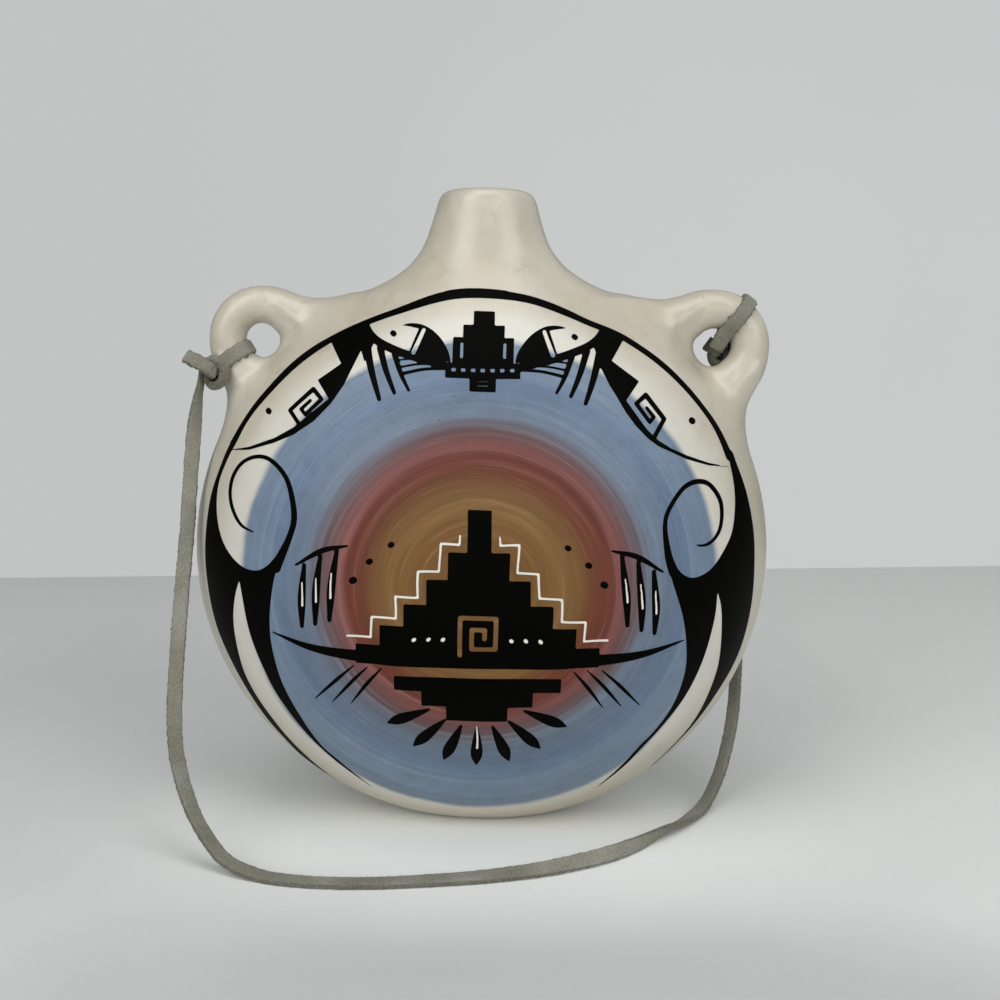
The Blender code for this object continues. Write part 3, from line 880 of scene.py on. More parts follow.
def surface_net(field_of: Field, axes: tuple[Array, Array, Array]) -> tuple[Array, Array]:
    """The surface on which a field is 0, as quads on a grid.

    Each grid cell that the surface passes through gets one vertex, at the mean of the places
    where the surface cuts the cell's edges. Each grid edge that it cuts gets one quad, between
    the four cells round the edge.

    Args:
        field_of: The field, a function of three arrays.
        axes: The grid lines across X, Y and Z.

    Returns:
        The vertices and the quads, which face the way in which the field grows.
    """
    grid = np.meshgrid(*axes, indexing="ij")
    values = field_of(*grid)
    inside = values < 0.0
    cells = tuple(n - 1 for n in inside.shape)
    total = np.zeros((*cells, 3))
    count = np.zeros(cells)
    for axis in range(3):
        low = [slice(None)] * 3
        high = [slice(None)] * 3
        low[axis], high[axis] = slice(None, -1), slice(1, None)
        a, b = values[tuple(low)], values[tuple(high)]
        cut = (a < 0.0) != (b < 0.0)
        share = np.where(cut, a / np.where(a == b, 1.0, a - b), 0.0)
        start = np.stack([g[tuple(low)] for g in grid], axis=-1)
        end = np.stack([g[tuple(high)] for g in grid], axis=-1)
        crossing = (start + (end - start) * share[..., None]) * cut[..., None]
        others = [i for i in range(3) if i != axis]
        for first in (0, 1):
            for second in (0, 1):
                pick = [slice(None)] * 3
                pick[others[0]] = slice(first, first + cells[others[0]])
                pick[others[1]] = slice(second, second + cells[others[1]])
                total += crossing[tuple(pick)]
                count += cut[tuple(pick)]
    used = count > 0
    number = np.full(cells, -1)
    number[used] = np.arange(used.sum())
    points = total[used] / count[used][:, None]
    quads = []
    for axis in range(3):
        low = [slice(1, -1)] * 3
        high = [slice(1, -1)] * 3
        low[axis], high[axis] = slice(None, -1), slice(1, None)
        before, after = inside[tuple(low)], inside[tuple(high)]
        others = [(axis + 1) % 3, (axis + 2) % 3]
        for leaving in (True, False):
            place = np.argwhere((before == leaving) & (after != leaving))
            corners = []
            for first, second in ((0, 0), (1, 0), (1, 1), (0, 1)):
                cell = place.copy()
                cell[:, others[0]] += first
                cell[:, others[1]] += second
                corners.append(number[tuple(cell.T)])
            rows = np.stack(corners, axis=1)
            quads.append(rows if leaving else rows[:, ::-1])
    return points, np.concatenate(quads)


class Corner(Enum):
    """How a painted shape's outline runs through its points."""

    ROUND = "a smooth curve through them"
    SHARP = "straight lines between them"


def to_segments(points: Array, a: Array, b: Array) -> tuple[Array, Array]:
    """The distance from each point to each segment a to b, and how far along it that is."""
    run = b - a
    offset = points[:, None, :] - a[None]
    along = np.clip((offset * run).sum(-1) / np.maximum((run * run).sum(-1), 1e-12), 0.0, 1.0)
    return np.linalg.norm(offset - along[..., None] * run, axis=-1), along


def in_parts(points: Array, measure: Callable[[Array], Array], size: int = 6000) -> Array:
    """A measure of many points, worked out a part at a time to save memory."""
    parts = [measure(points[i : i + size]) for i in range(0, len(points), size)]
    return np.concatenate(parts) if parts else np.zeros(0)


@dataclass(frozen=True)
class Stroke:
    """A brush stroke through (x, z, width) points, seen from the front."""

    points: tuple[tuple[float, float, float], ...]
    corner: Corner = Corner.ROUND

    def line(self) -> Array:
        """The stroke's centreline with its widths."""
        rows = np.array(self.points, float)
        if self.corner is Corner.SHARP:
            return rows
        flat = np.column_stack([rows[:, :2], np.zeros(len(rows)), rows[:, 2]])
        return smooth_line(flat, 0.6)[:, [0, 1, 3]]

    def reach(self) -> tuple[Array, Array]:
        """The lowest and highest x and z that the paint reaches."""
        line = self.line()
        half = line[:, 2].max() / 2.0
        return line[:, :2].min(0) - half, line[:, :2].max(0) + half

    def distance(self, points: Array) -> Array:
        """Distance to the edge of the paint: that to the centreline less half the width."""
        line = self.line()
        a, b = line[:-1], line[1:]

        def measure(some: Array) -> Array:
            """The distance for some of the points."""
            far, along = to_segments(some, a[:, :2], b[:, :2])
            return (far - (a[:, 2] + (b[:, 2] - a[:, 2]) * along) / 2.0).min(axis=1)

        return in_parts(points, measure)

    def mirrored(self) -> "Stroke":
        """The same stroke on the other side."""
        return Stroke(tuple((-x, z, w) for x, z, w in self.points), self.corner)


@dataclass(frozen=True)
class Patch:
    """A painted area whose outline is made of runs of (x, z) points, joined at corners."""

    runs: tuple[tuple[Point, ...], ...]
    corner: Corner = Corner.ROUND

    def line(self) -> Array:
        """The closed outline."""
        parts = []
        for i, run in enumerate(self.runs):
            rows = np.array([*run, self.runs[(i + 1) % len(self.runs)][0]], float)
            if self.corner is Corner.ROUND and len(rows) > 2:
                rows = smooth_line(rows, 0.7)
            parts.append(rows[:-1])
        return np.concatenate([*parts, parts[0][:1]])

    def reach(self) -> tuple[Array, Array]:
        """The lowest and highest x and z that the paint reaches."""
        line = self.line()
        return line.min(0), line.max(0)

    def distance(self, points: Array) -> Array:
        """Distance to the outline, below 0 where a ray from the point crosses it an odd time."""
        line = self.line()
        a, b = line[:-1], line[1:]

        def measure(some: Array) -> Array:
            """The distance for some of the points."""
            far, _ = to_segments(some, a, b)
            x, z = some[:, :1], some[:, 1:]
            spans = (a[:, 1] > z) != (b[:, 1] > z)
            rise = np.where(a[:, 1] == b[:, 1], 1.0, b[:, 1] - a[:, 1])
            ahead = x < a[:, 0] + (z - a[:, 1]) / rise * (b[:, 0] - a[:, 0])
            odd = (spans & ahead).sum(axis=1) % 2 == 1
            return np.where(odd, -1.0, 1.0) * far.min(axis=1)

        return in_parts(points, measure)

    def mirrored(self) -> "Patch":
        """The same patch on the other side."""
        return Patch(tuple(tuple((-x, z) for x, z in run) for run in self.runs), self.corner)


Shape = Union[Stroke, Patch]


def box_patch(x0: float, x1: float, z0: float, z1: float) -> Patch:
    """An upright rectangle of paint."""
    return Patch((((x0, z0), (x1, z0), (x1, z1), (x0, z1)),), Corner.SHARP)


def dot(x: float, z: float, size: float) -> Stroke:
    """A round dot of paint, a little longer than wide."""
    return Stroke(((x - size * 0.12, z + 0.1, size), (x + size * 0.12, z - 0.1, size)), Corner.SHARP)


def both(*shapes: Shape) -> list[Shape]:
    """The shapes and their mirror images."""
    return [*shapes, *(shape.mirrored() for shape in shapes)]


FAR_AWAY = 1e4  # a place that no painted shape reaches


@dataclass
class Painting:
    """One colour of paint: shapes that are laid on and shapes that are left bare."""

    name: str
    laid: list[Shape]
    bare: list[Shape] = field(default_factory=list)
    over: list[Shape] = field(default_factory=list)  # laid after the bare shapes are kept
    grid: float = 0.36  # spacing of the nodes that the shapes are tested at
    rim_margin: float = 1.2  # how far from the body's rim the grid ends
    profile_steps: int = 4000
    thickness: float = 0.05
    sunk: float = 0.12  # how far the film's underside lies in the clay
    wobble: float = 0.05  # how far the hand's unevenness moves the edges
    margin: float = 2.0  # round a shape, within which its distance is worked out

    def unrolled(self, clay: ClayBody) -> tuple[Array, Array, Array, Array, tuple[int, int]]:
        """A square grid laid on the front dome as if the dome were rolled out flat.

        A node's distance from the middle of the grid is the length of the dome's profile from
        its middle, so the cells keep their size up to the rim.

        Returns:
            The nodes' x, y and z, the wobbled (x, z) that the shapes are tested at, and the
            grid's counts.
        """
        a = np.linspace(0.0, math.pi / 2, self.profile_steps)
        rho = clay.radius * np.sin(a) ** (2.0 / clay.dome_power)
        y = clay.depth * np.cos(a) ** (2.0 / clay.rim_power)
        run = run_of(np.stack([rho, y], axis=1))
        last = np.interp(clay.radius - self.rim_margin, rho, run)
        n = int(2 * last / self.grid) + 1
        line = np.linspace(-last, last, n)
        across, up = (g.ravel() for g in np.meshgrid(line, line, indexing="ij"))
        far = np.hypot(across, up) + 1e-9
        reach = np.interp(far, run, rho)
        z = clay.centre + clay.squash * up / far * reach
        x = across / far * reach + clay.shift(z)
        depth = -np.interp(far, run, y) * (1.0 - clay.flatter * clay.sag(z))
        sway = self.wobble * np.sin(0.37 * z + 0.7 * np.sin(0.31 * x))
        heave = self.wobble * np.sin(0.33 * x + 1.1 * np.sin(0.27 * z) + 1.0)
        tested = np.stack([x + sway, z + heave], axis=1)
        tested[far > last] = FAR_AWAY
        return x, depth, z, tested, (n, n)

    def level(self, tested: Array) -> Array:
        """Distance to the paint's edge at the tested places, below 0 in the paint."""
        level = np.full(len(tested), self.margin + 1.0)
        for shapes, bare in ((self.laid, False), (self.bare, True), (self.over, False)):
            for shape in shapes:
                low, high = shape.reach()
                near = ((tested > low - self.margin) & (tested < high + self.margin)).all(axis=1)
                far = shape.distance(tested[near])
                kept = level[near]
                level[near] = np.maximum(kept, -far) if bare else np.minimum(kept, far)
        return level

    def build(self, clay: ClayBody, finish: BrushedPaint) -> bpy.types.Object:
        """The paint as a closed film on the clay, dressed."""
        x, y, z, tested, counts = self.unrolled(clay)
        level = self.level(tested)
        nodes = np.stack([x, y, z], axis=1)
        points, faces, edges = filled_contour(nodes, level, counts)
        ground = clay.settle(points)
        outward = unit(clay.slope(ground))
        top = ground + outward * self.thickness
        under = ground - outward * self.sunk
        n = len(points)
        walls = np.stack([edges[:, 0], edges[:, 1], edges[:, 1] + n, edges[:, 0] + n], axis=1)
        faces = [*faces, *[part[:, ::-1] + n for part in faces], walls[:, ::-1]]
        normals = np.concatenate([outward, -outward])
        piece = mesh_piece(self.name, np.concatenate([top, under]), faces, normals)
        piece.data.materials.append(finish.material())
        return piece


def filled_contour(
    nodes: Array, level: Array, counts: tuple[int, int]
) -> tuple[Array, list[Array], Array]:
    """The part of a gridded surface on which level is below 0, cut exactly at level 0.

    Each cell's inside corners and the crossings of its edges, taken in order round the cell,
    make one polygon.

    Args:
        nodes: The grid's nodes, one a row, running along the second axis first.
        level: The level at each node.
        counts: The grid's counts along its two axes.

    Returns:
        The vertices, the faces by corner count, and the outline's edges.
    """
    m, n = counts
    inside = (level < 0.0).reshape(m, n)
    ids = np.arange(m * n).reshape(m, n)
    corner_ids = [ids[:-1, :-1], ids[1:, :-1], ids[1:, 1:], ids[:-1, 1:]]
    corner_in = [inside[:-1, :-1], inside[1:, :-1], inside[1:, 1:], inside[:-1, 1:]]
    case = sum(flag.astype(int) << i for i, flag in enumerate(corner_in))
    key_base = m * n

    def crossing_key(a: Array, b: Array) -> Array:
        """A number for the edge between two neighbouring nodes, the same from both its cells."""
        low, high = np.minimum(a, b), np.maximum(a, b)
        return key_base + 2 * low + (high - low == 1)

    polygons, outline = [], []
    for kind in range(1, 16):
        place = case == kind
        if not place.any():
            continue
        here = [grid[place] for grid in corner_ids]
        slots = []
        for i in range(4):
            j = (i + 1) % 4
            if kind >> i & 1:
                slots.append((here[i], True))
            if (kind >> i & 1) != (kind >> j & 1):
                slots.append((crossing_key(here[i], here[j]), False))
        polygons.append(np.stack([slot for slot, _ in slots], axis=1))
        for (first, a), (second, b) in zip(slots, slots[1:] + slots[:1]):
            if not a and not b:
                outline.append(np.stack([first, second], axis=1))
    keys = np.unique(np.concatenate([p.ravel() for p in polygons]))
    is_node = keys < key_base
    points = np.empty((len(keys), 3))
    points[is_node] = nodes[keys[is_node]]
    coded = keys[~is_node] - key_base
    start = coded // 2
    end = start + np.where(coded % 2 == 1, 1, n)
    least = 0.02  # share of a grid edge that a crossing keeps from its ends
    share = np.clip(level[start] / (level[start] - level[end]), least, 1.0 - least)
    points[~is_node] = nodes[start] + (nodes[end] - nodes[start]) * share[:, None]
    faces = [np.searchsorted(keys, part) for part in polygons]
    return points, faces, np.searchsorted(keys, np.concatenate(outline))


def border_black() -> Painting:
    """The black border: a ring, side crescents with volutes, arcs with key frets and feathers.

    The points were read off the photograph. Scripts then moved some of those on the sides and
    dropped the ones that the curves hardly need.
    """
    ring = Stroke((
        (-62.2, 100.0, 1.7), (-58.7, 106.0, 1.3), (-54.9, 111.2, 1.5), (-45.2, 121.0, 1.7),
        (-35.2, 127.5, 1.5), (-20.2, 133.6, 1.5), (-10.1, 136.1, 1.8), (0.0, 136.8, 1.9),
        (10.1, 135.9, 1.5), (20.1, 133.5, 1.5), (25.1, 131.5, 1.4), (34.8, 127.5, 1.4),
        (44.9, 120.6, 1.4), (54.6, 110.6, 1.3), (58.2, 105.6, 1.5), (61.1, 99.4, 2.0),
    ))
    left_side = Patch((
        (
            (-61.0, 100.8), (-62.7, 100.2), (-65.8, 93.3), (-68.5, 85.0), (-69.7, 70.0),
            (-67.9, 56.6), (-66.0, 49.8), (-55.6, 28.7), (-50.4, 21.5), (-46.3, 15.4),
            (-41.1, 11.1),
        ),
        (
            (-35.8, 7.8), (-40.3, 11.9), (-51.7, 26.5), (-58.7, 39.4), (-60.3, 45.4),
            (-61.1, 56.6), (-60.2, 63.3),
        ),
        ((-58.8, 67.6), (-56.1, 53.2), (-50.6, 38.5), (-41.7, 24.8)),
        (
            (-25.4, 9.1), (-35.0, 19.0), (-40.0, 24.2), (-48.8, 42.8), (-50.7, 56.6),
            (-49.2, 69.2), (-46.3, 76.5),
        ),
        (
            (-46.0, 79.0), (-48.5, 75.0), (-51.0, 72.2), (-53.5, 70.8), (-56.8, 70.8),
            (-60.2, 72.5), (-63.3, 75.8), (-65.2, 80.0), (-66.0, 85.0), (-65.6, 90.0),
            (-63.6, 95.6),
        ),
    ))
    right_side = Patch((
        (
            (60.4, 101.2), (61.9, 100.6), (63.2, 97.6), (66.6, 89.0), (68.6, 79.0), (69.2, 66.5),
            (67.9, 52.7), (65.4, 44.8), (57.3, 30.3), (51.2, 21.8),
        ),
        ((44.9, 14.2), (55.4, 29.1), (60.1, 44.7), (59.7, 61.5)),
        (
            (58.1, 67.4), (57.8, 60.0), (55.7, 49.8), (52.0, 39.5), (46.0, 30.1), (42.1, 24.9),
            (38.2, 19.4),
        ),
        (
            (30.2, 10.8), (37.7, 20.2), (41.5, 25.9), (44.3, 29.3), (48.4, 36.2), (50.6, 44.0),
            (51.0, 51.5), (49.5, 60.5), (45.2, 73.5), (44.2, 77.0),
        ),
        (
            (44.9, 78.6), (47.0, 74.2), (49.0, 72.1), (51.5, 71.2), (56.0, 72.9), (60.8, 79.4),
            (62.0, 83.0), (62.5, 90.5),
        ),
    ))
    left_volute = Stroke((
        (-54.6, 79.9, 0.3), (-58.2, 81.2, 0.8), (-60.6, 84.2, 1.0), (-61.7, 87.9, 1.0),
        (-61.2, 92.1, 1.0), (-58.9, 95.8, 0.9), (-55.2, 97.7, 0.9), (-51.8, 97.7, 1.0),
        (-48.5, 95.8, 1.1), (-45.8, 92.5, 1.2), (-44.1, 84.5, 1.5), (-45.2, 79.8, 1.5),
        (-48.7, 72.0, 2.6),
    ))
    right_volute = Stroke((
        (51.8, 79.2, 0.3), (53.5, 78.9, 0.6), (55.5, 79.4, 0.8), (57.3, 81.0, 0.9),
        (58.4, 83.5, 1.0), (58.3, 89.0, 1.1), (55.3, 93.2, 1.1), (53.0, 94.1, 1.2),
        (50.5, 93.9, 1.2), (48.0, 92.5, 1.1), (44.5, 87.5, 1.1), (43.8, 84.5, 1.1),
        (44.8, 77.0, 1.8), (46.3, 73.0, 2.4),
    ))
    left_panel = Patch(((
        (-36.9, 126.8), (-37.4, 125.8), (-34.0, 120.6), (-39.8, 116.6), (-36.6, 112.4),
        (-45.0, 105.3), (-50.0, 102.5), (-57.0, 99.9), (-63.3, 98.5), (-57.0, 99.2),
        (-50.0, 101.4), (-45.0, 103.6), (-40.0, 107.0), (-36.0, 111.3), (-33.0, 115.8),
        (-29.3, 123.8), (-28.2, 121.0), (-26.4, 125.3), (-26.8, 128.0), (-28.3, 130.4),
        (-29.5, 131.0),
    ),), Corner.SHARP)
    right_panel = Patch(((
        (33.0, 128.7), (33.9, 127.6), (30.7, 122.5), (37.3, 117.8), (34.0, 113.3), (39.2, 106.6),
        (42.0, 104.1), (45.0, 102.2), (49.0, 100.4), (55.0, 98.4), (61.3, 96.9), (55.0, 97.8),
        (49.0, 99.5), (42.0, 102.7), (39.4, 104.6), (36.4, 107.5), (34.0, 110.5), (30.0, 116.8),
        (28.0, 120.8), (26.2, 126.2), (26.4, 127.6), (28.3, 130.0), (30.0, 130.4),
    ),), Corner.SHARP)
    left_fret = Stroke((
        (-43.2, 105.6, 1.0), (-46.3, 109.2, 1.0), (-40.7, 114.4, 1.1), (-38.4, 112.2, 1.0),
        (-42.2, 108.4, 0.9), (-43.4, 109.6, 0.9), (-41.2, 111.7, 0.8),
    ), Corner.SHARP)
    right_fret = Stroke((
        (40.9, 104.8, 1.1), (43.5, 109.0, 1.1), (38.9, 114.6, 1.2), (36.5, 112.6, 1.0),
        (39.9, 108.3, 0.9), (40.9, 109.5, 0.9), (39.1, 111.6, 0.8),
    ), Corner.SHARP)
    lens = Stroke((
        (-28.6, 130.2, 0.8), (-27.2, 127.6, 1.7), (-24.5, 125.6, 1.9), (-9.0, 120.8, 1.7),
        (0.0, 120.2, 1.7), (9.0, 120.8, 1.7), (24.5, 125.6, 1.9), (27.2, 127.6, 1.7),
        (28.6, 130.2, 0.8),
    ))
    hill = Patch((
        ((-19.8, 130.0), (-18.0, 130.5), (-15.0, 130.3), (-12.2, 128.9), (-9.8, 126.6), (-8.0, 123.6)),
        ((-7.6, 121.6), (-12.0, 122.2)),
        ((-17.6, 123.6), (-16.6, 126.6)),
        ((-15.6, 129.3), (-17.5, 129.7)),
    ))
    feathers = [
        Stroke(((-28.0, 125.4, 1.9), (-26.4, 119.0, 1.6), (-24.2, 112.7, 1.0))),
        Stroke(((-24.6, 124.6, 1.7), (-23.0, 119.6, 1.4), (-20.7, 114.3, 0.9))),
        Stroke(((-21.0, 123.2, 1.4), (-19.4, 119.0, 1.1), (-17.3, 115.0, 0.7))),
    ]
    terrace = Patch((
        (
            (-2.5, 133.2), (2.5, 133.2), (2.5, 130.2), (4.9, 130.2), (4.9, 127.4),
            (7.2, 127.4), (7.2, 120.0), (-7.2, 120.0), (-7.2, 127.4), (-4.9, 127.4),
            (-4.9, 130.2), (-2.5, 130.2),
        ),
    ), Corner.SHARP)
    pendant = [box_patch(-8.8, 8.8, 118.0, 121.2), box_patch(-3.1, 3.1, 115.0, 118.6)]
    threads = [
        Stroke(((-19.3, 118.7, 0.8), (-14.0, 119.8, 0.7), (-8.6, 120.1, 0.7))),
        Stroke(((-19.4, 120.3, 0.5), (-15.0, 121.0, 0.5), (-10.0, 120.9, 0.5))),
        Stroke(((-19.8, 121.9, 0.4), (-16.0, 122.2, 0.4), (-13.0, 121.9, 0.4))),
    ]
    stripe = Stroke(((-14.4, 129.0, 0.9), (-16.5, 123.7, 1.1)), Corner.SHARP)
    slots = [box_patch(x, x + 0.7, 122.6, 126.2) for x in (-5.4, 4.7)]
    places = (-6.9, -4.6, -2.3, 0.0, 2.3, 4.6, 6.9)
    windows = [box_patch(x - 0.55, x + 0.55, 119.5, 120.3) for x in places]
    ticks = [box_patch(-1.5, 1.5, z, z + 0.28) for z in (116.3, 117.3)]
    spots = ((-52.2, 108.7, 1.4), (50.9, 108.3, 1.5), (-21.7, 128.0, 1.3), (21.7, 128.0, 1.3))
    return Painting(
        "black_border",
        laid=[
            ring, left_side, right_side, left_volute, right_volute, left_panel, right_panel,
            left_fret, right_fret, lens, terrace, *pendant, *both(hill, *feathers, *threads),
        ],
        bare=[*both(stripe), *slots, *windows, *ticks],
        over=[dot(*spot) for spot in spots],
    )


def steps(sides: Sequence[Point], low: float) -> Patch:
    """A stepped outline, the same left and right.

    Args:
        sides: The half width of each step and the height at which it ends, from low on.
        low: The height at which the first step starts.

    Returns:
        The patch.
    """
    right = []
    start = low
    for half, end in sides:
        right += [(half, start), (half, end)]
        start = end
    left = [(-x, z) for x, z in right[::-1]]
    return Patch((tuple(right + left),), Corner.SHARP)


CLOUD_STEPS = ((29.0, 55.0), (23.2, 60.0), (17.6, 65.4), (12.2, 71.4), (7.2, 78.0), (2.8, 88.0))
CLOUD_FOOT = 50.0
ROOT_STEPS = ((20.0, 43.4), (13.4, 39.4), (7.4, 35.4))
ROOT_TOP = 47.2
FAN_MIDDLE = 43.5  # height of the point that the lower feathers spread from
FAN_RADII = (14.5, 4.5)  # of the feathers' starts: beside that point, and how much less below it
FAN_TURNS = (-66.0, -44.0, -22.0, 0.0, 22.0, 44.0, 66.0)
FEATHER = ((0.0, 0.7), (4.0, 2.2), (8.2, 2.8), (11.2, 0.5))  # widths along a feather
LINE_GAP = 1.9  # between a side of the cloud and the white line
LINE_RISE = 1.8  # of the white line above a step
LINE_TOP = 82.0


def feather(turn: float) -> Stroke:
    """One feather of the fan under the cloud, turned from straight down."""
    side, down = math.sin(turn), math.cos(turn)
    start = FAN_RADII[0] - FAN_RADII[1] * down
    rows = [((start + far) * side, FAN_MIDDLE - (start + far) * down, w) for far, w in FEATHER]
    return Stroke(tuple(rows))


def middle_black() -> Painting:
    """The middle: a stepped cloud over its mirror image, feathers beside and below it."""
    cloud = steps(CLOUD_STEPS, CLOUD_FOOT)
    root = steps(ROOT_STEPS, ROOT_TOP)
    fret = Stroke((
        (-4.2, 53.2, 1.1), (-4.2, 62.4, 1.1), (4.2, 62.4, 1.1), (4.2, 54.8, 1.1),
        (-1.4, 54.8, 1.1), (-1.4, 59.6, 1.1), (1.6, 59.6, 1.1), (1.6, 57.4, 1.1),
    ), Corner.SHARP)
    fan = [feather(math.radians(turn)) for turn in FAN_TURNS]
    quills = [
        Stroke(((x * 0.86, 49.2, 0.3), (x, 44.6, 0.9), (x * 1.16, 38.6, 0.25)))
        for x in (26.5, 30.5, 34.5)
    ]
    sides = [
        Stroke(((33.5, 77.5, 1.0), (34.8, 68.0, 2.0), (35.4, 60.5, 1.0))),
        Stroke(((37.5, 75.8, 1.0), (38.6, 66.6, 2.0), (38.9, 59.2, 1.0))),
        Stroke(((41.4, 73.4, 1.0), (42.2, 65.0, 2.0), (42.2, 58.2, 1.0))),
        Stroke(((31.0, 78.6, 0.5), (37.0, 77.2, 1.3), (43.6, 73.2, 0.5))),
    ]
    ground = Stroke((
        (-50.0, 55.6, 0.3), (-40.0, 53.0, 1.8), (-24.0, 51.6, 3.2), (0.0, 51.4, 3.2),
        (24.0, 51.6, 3.2), (40.0, 53.0, 1.8), (50.0, 55.6, 0.3),
    ))
    return Painting(
        "black_middle",
        laid=[cloud, root, ground, *fan, *both(*quills, *sides)],
        bare=[fret],
        over=[*both(dot(29.5, 70.5, 1.6), dot(25.6, 75.2, 1.4), dot(20.6, 79.4, 1.3))],
    )


def middle_white() -> Painting:
    """White lines that follow the stepped cloud and mark the feathers."""
    rows = []
    start = CLOUD_FOOT
    for half, end in CLOUD_STEPS:
        rows += [(half + LINE_GAP, start + LINE_RISE, 0.5), (half + LINE_GAP, end + LINE_RISE, 0.55)]
        start = end
    rows[-1] = (rows[-1][0], LINE_TOP, 0.4)
    outline = Stroke(tuple(rows[1:]), Corner.SHARP)
    marks = [
        Stroke(((34.6, 72.0, 0.35), (35.0, 66.0, 0.5)), Corner.SHARP),
        Stroke(((38.3, 70.6, 0.35), (38.7, 64.6, 0.5)), Corner.SHARP),
        Stroke(((42.0, 69.0, 0.35), (42.2, 63.2, 0.5)), Corner.SHARP),
    ]
    dots = [dot(x, 56.8, 0.9) for x in (11.5, 15.0, 8.0)]
    centre = Stroke(((0.0, 34.0, 0.4), (0.0, 27.5, 0.5)), Corner.SHARP)
    return Painting(
        "white_middle",
        laid=[*both(outline, *marks, *dots), centre],
        thickness=0.09,
        wobble=0.2,
    )


@dataclass
class Strip:
    """Flat suede lace, swept along a path."""

    width: float = 3.6
    thickness: float = 1.5
    corners: int = 28  # points round the section
    flatness: tuple[float, float] = (0.34, 0.5)  # powers p and q of the section's formula
    ragged: float = 0.07  # how far the torn edges stand in and out
    ragged_face: float = 0.2  # share of that on the faces' sides
    ragged_thick: float = 0.4  # share of that in the thickness
    cut_from: float = 0.86  # share of the half width at which the cut edge starts
    bulge: float = 0.12  # of the cut ends
    step: float = 0.4
    seed: int = 3

    def section(self) -> tuple[Array, Array]:
        """Points round the section, (across, through), and how far each is a cut edge.

        The section is a superellipse |a|^(2/p) + |b|^(2/q) = 1 stretched to the strip's half
        sizes, with more points where it turns.
        """
        t = np.linspace(0.0, math.tau, self.corners, endpoint=False) + math.pi / self.corners
        c, s = np.cos(t), np.sin(t)
        across = np.sign(c) * np.abs(c) ** self.flatness[0]
        through = np.sign(s) * np.abs(s) ** self.flatness[1]
        points = np.stack([across * self.width / 2, through * self.thickness / 2], axis=1)
        return points, eased(np.abs(across), self.cut_from, 1.0)

    def sweep(
        self,
        name: str,
        path: Array,
        across: Array,
        finish: bpy.types.Material,
        girth: Array | float = 1.0,
        tie_shade: Array | float = 0.0,
    ) -> bpy.types.Object:
        """The strip along a path.

        At each point the section stands square to the path, its width along `across`. Smoothed
        noise moves its points in and out, most on the cut edges, so that the edges look torn.

        Args:
            name: The piece's name.
            path: The centreline, one point a row.
            across: The direction of the width at each point of the path.
            finish: The suede's material.
            girth: How much of the full section is left at each point, where it is squeezed.
            tie_shade: How dark the strip is painted at each point, from 0 to 1: painted shade in the
                knots' hollows.

        Returns:
            The closed strip.
        """
        tangent = unit(np.gradient(path, axis=0))
        across = across - (across * tangent).sum(1, keepdims=True) * tangent
        across = unit(across)
        through = np.cross(tangent, across)
        flat, cut = self.section()
        rings, count = len(path), len(flat)
        rng = np.random.default_rng(self.seed)
        rough = rng.normal(size=(rings + 1, count))
        rough = (rough[1:] + rough[:-1]) / 2**0.5
        edge = self.ragged * (self.ragged_face + cut) * rough
        wide = flat[None, :, 0] + edge * np.sign(flat[None, :, 0])
        thick = flat[None, :, 1] * (1.0 + self.ragged_thick * self.ragged * rough)
        spread = np.broadcast_to(girth, rings)[:, None, None]
        body = across[:, None] * wide[..., None] + through[:, None] * thick[..., None]
        body = path[:, None] + spread * body
        ends = path[[0, -1]] + np.stack([-tangent[0], tangent[-1]]) * self.bulge
        points = np.concatenate([body.reshape(-1, 3), ends])
        i = np.arange(rings - 1)[:, None] * count
        j = np.arange(count)[None]
        k = (j + 1) % count
        quads = np.stack([i + j, i + k, i + k + count, i + j + count], axis=-1).reshape(-1, 4)
        first = np.stack([np.full(count, rings * count), k[0], j[0]], axis=1)
        base = (rings - 1) * count
        last = np.stack([np.full(count, rings * count + 1), base + j[0], base + k[0]], axis=1)
        marks = np.concatenate([np.tile(cut, rings), [1.0, 1.0]])
        marks[: 2 * count] = 1.0
        marks[base : base + count] = 1.0
        # painted shade for each vertex, from the path's values
        dark = np.repeat(np.broadcast_to(tie_shade, rings), count)
        dark = np.concatenate([dark, dark[[0, -1]]])
        found = {"cut_edge": marks, "tie_shade": dark}
        piece = mesh_piece(name, points, [quads, first, last], marks=found)
        piece.data.materials.append(finish)
        return piece


LACE_ROUTE = (
    (-71.5, -6.8, 117.8), (-71.9, -7.0, 114.6), (-72.5, -7.4, 111.4), (-73.1, -8.2, 106.0),
    (-73.6, -10.0, 97.5), (-74.3, -13.6, 78.0), (-75.0, -18.0, 60.7), (-75.1, -22.2, 48.0),
    (-74.6, -27.4, 35.5), (-73.2, -31.8, 26.4), (-70.1, -35.8, 17.8), (-65.4, -39.2, 9.6),
    (-58.8, -42.4, 3.6), (-50.0, -45.6, 1.6), (-41.0, -47.6, 1.6), (-29.0, -48.2, 1.6),
    (-16.5, -47.1, 1.6), (3.5, -43.7, 1.6), (20.0, -38.7, 1.6), (36.1, -29.7, 1.6),
    (49.4, -16.4, 1.6), (57.6, -6.0, 1.7), (63.2, 2.4, 3.2), (67.0, 7.2, 8.4),
    (69.8, 11.0, 16.4), (71.4, 13.6, 25.0), (72.0, 16.0, 36.0), (72.2, 17.8, 50.0),
    (72.2, 18.6, 64.0), (71.8, 18.4, 78.0), (70.6, 17.0, 91.0), (68.6, 14.4, 103.0),
    (66.4, 11.8, 111.6), (64.5, 10.4, 116.2), (62.8, 8.8, 119.3), (61.6, 7.0, 121.8),
    (61.9, 6.4, 124.8),
)

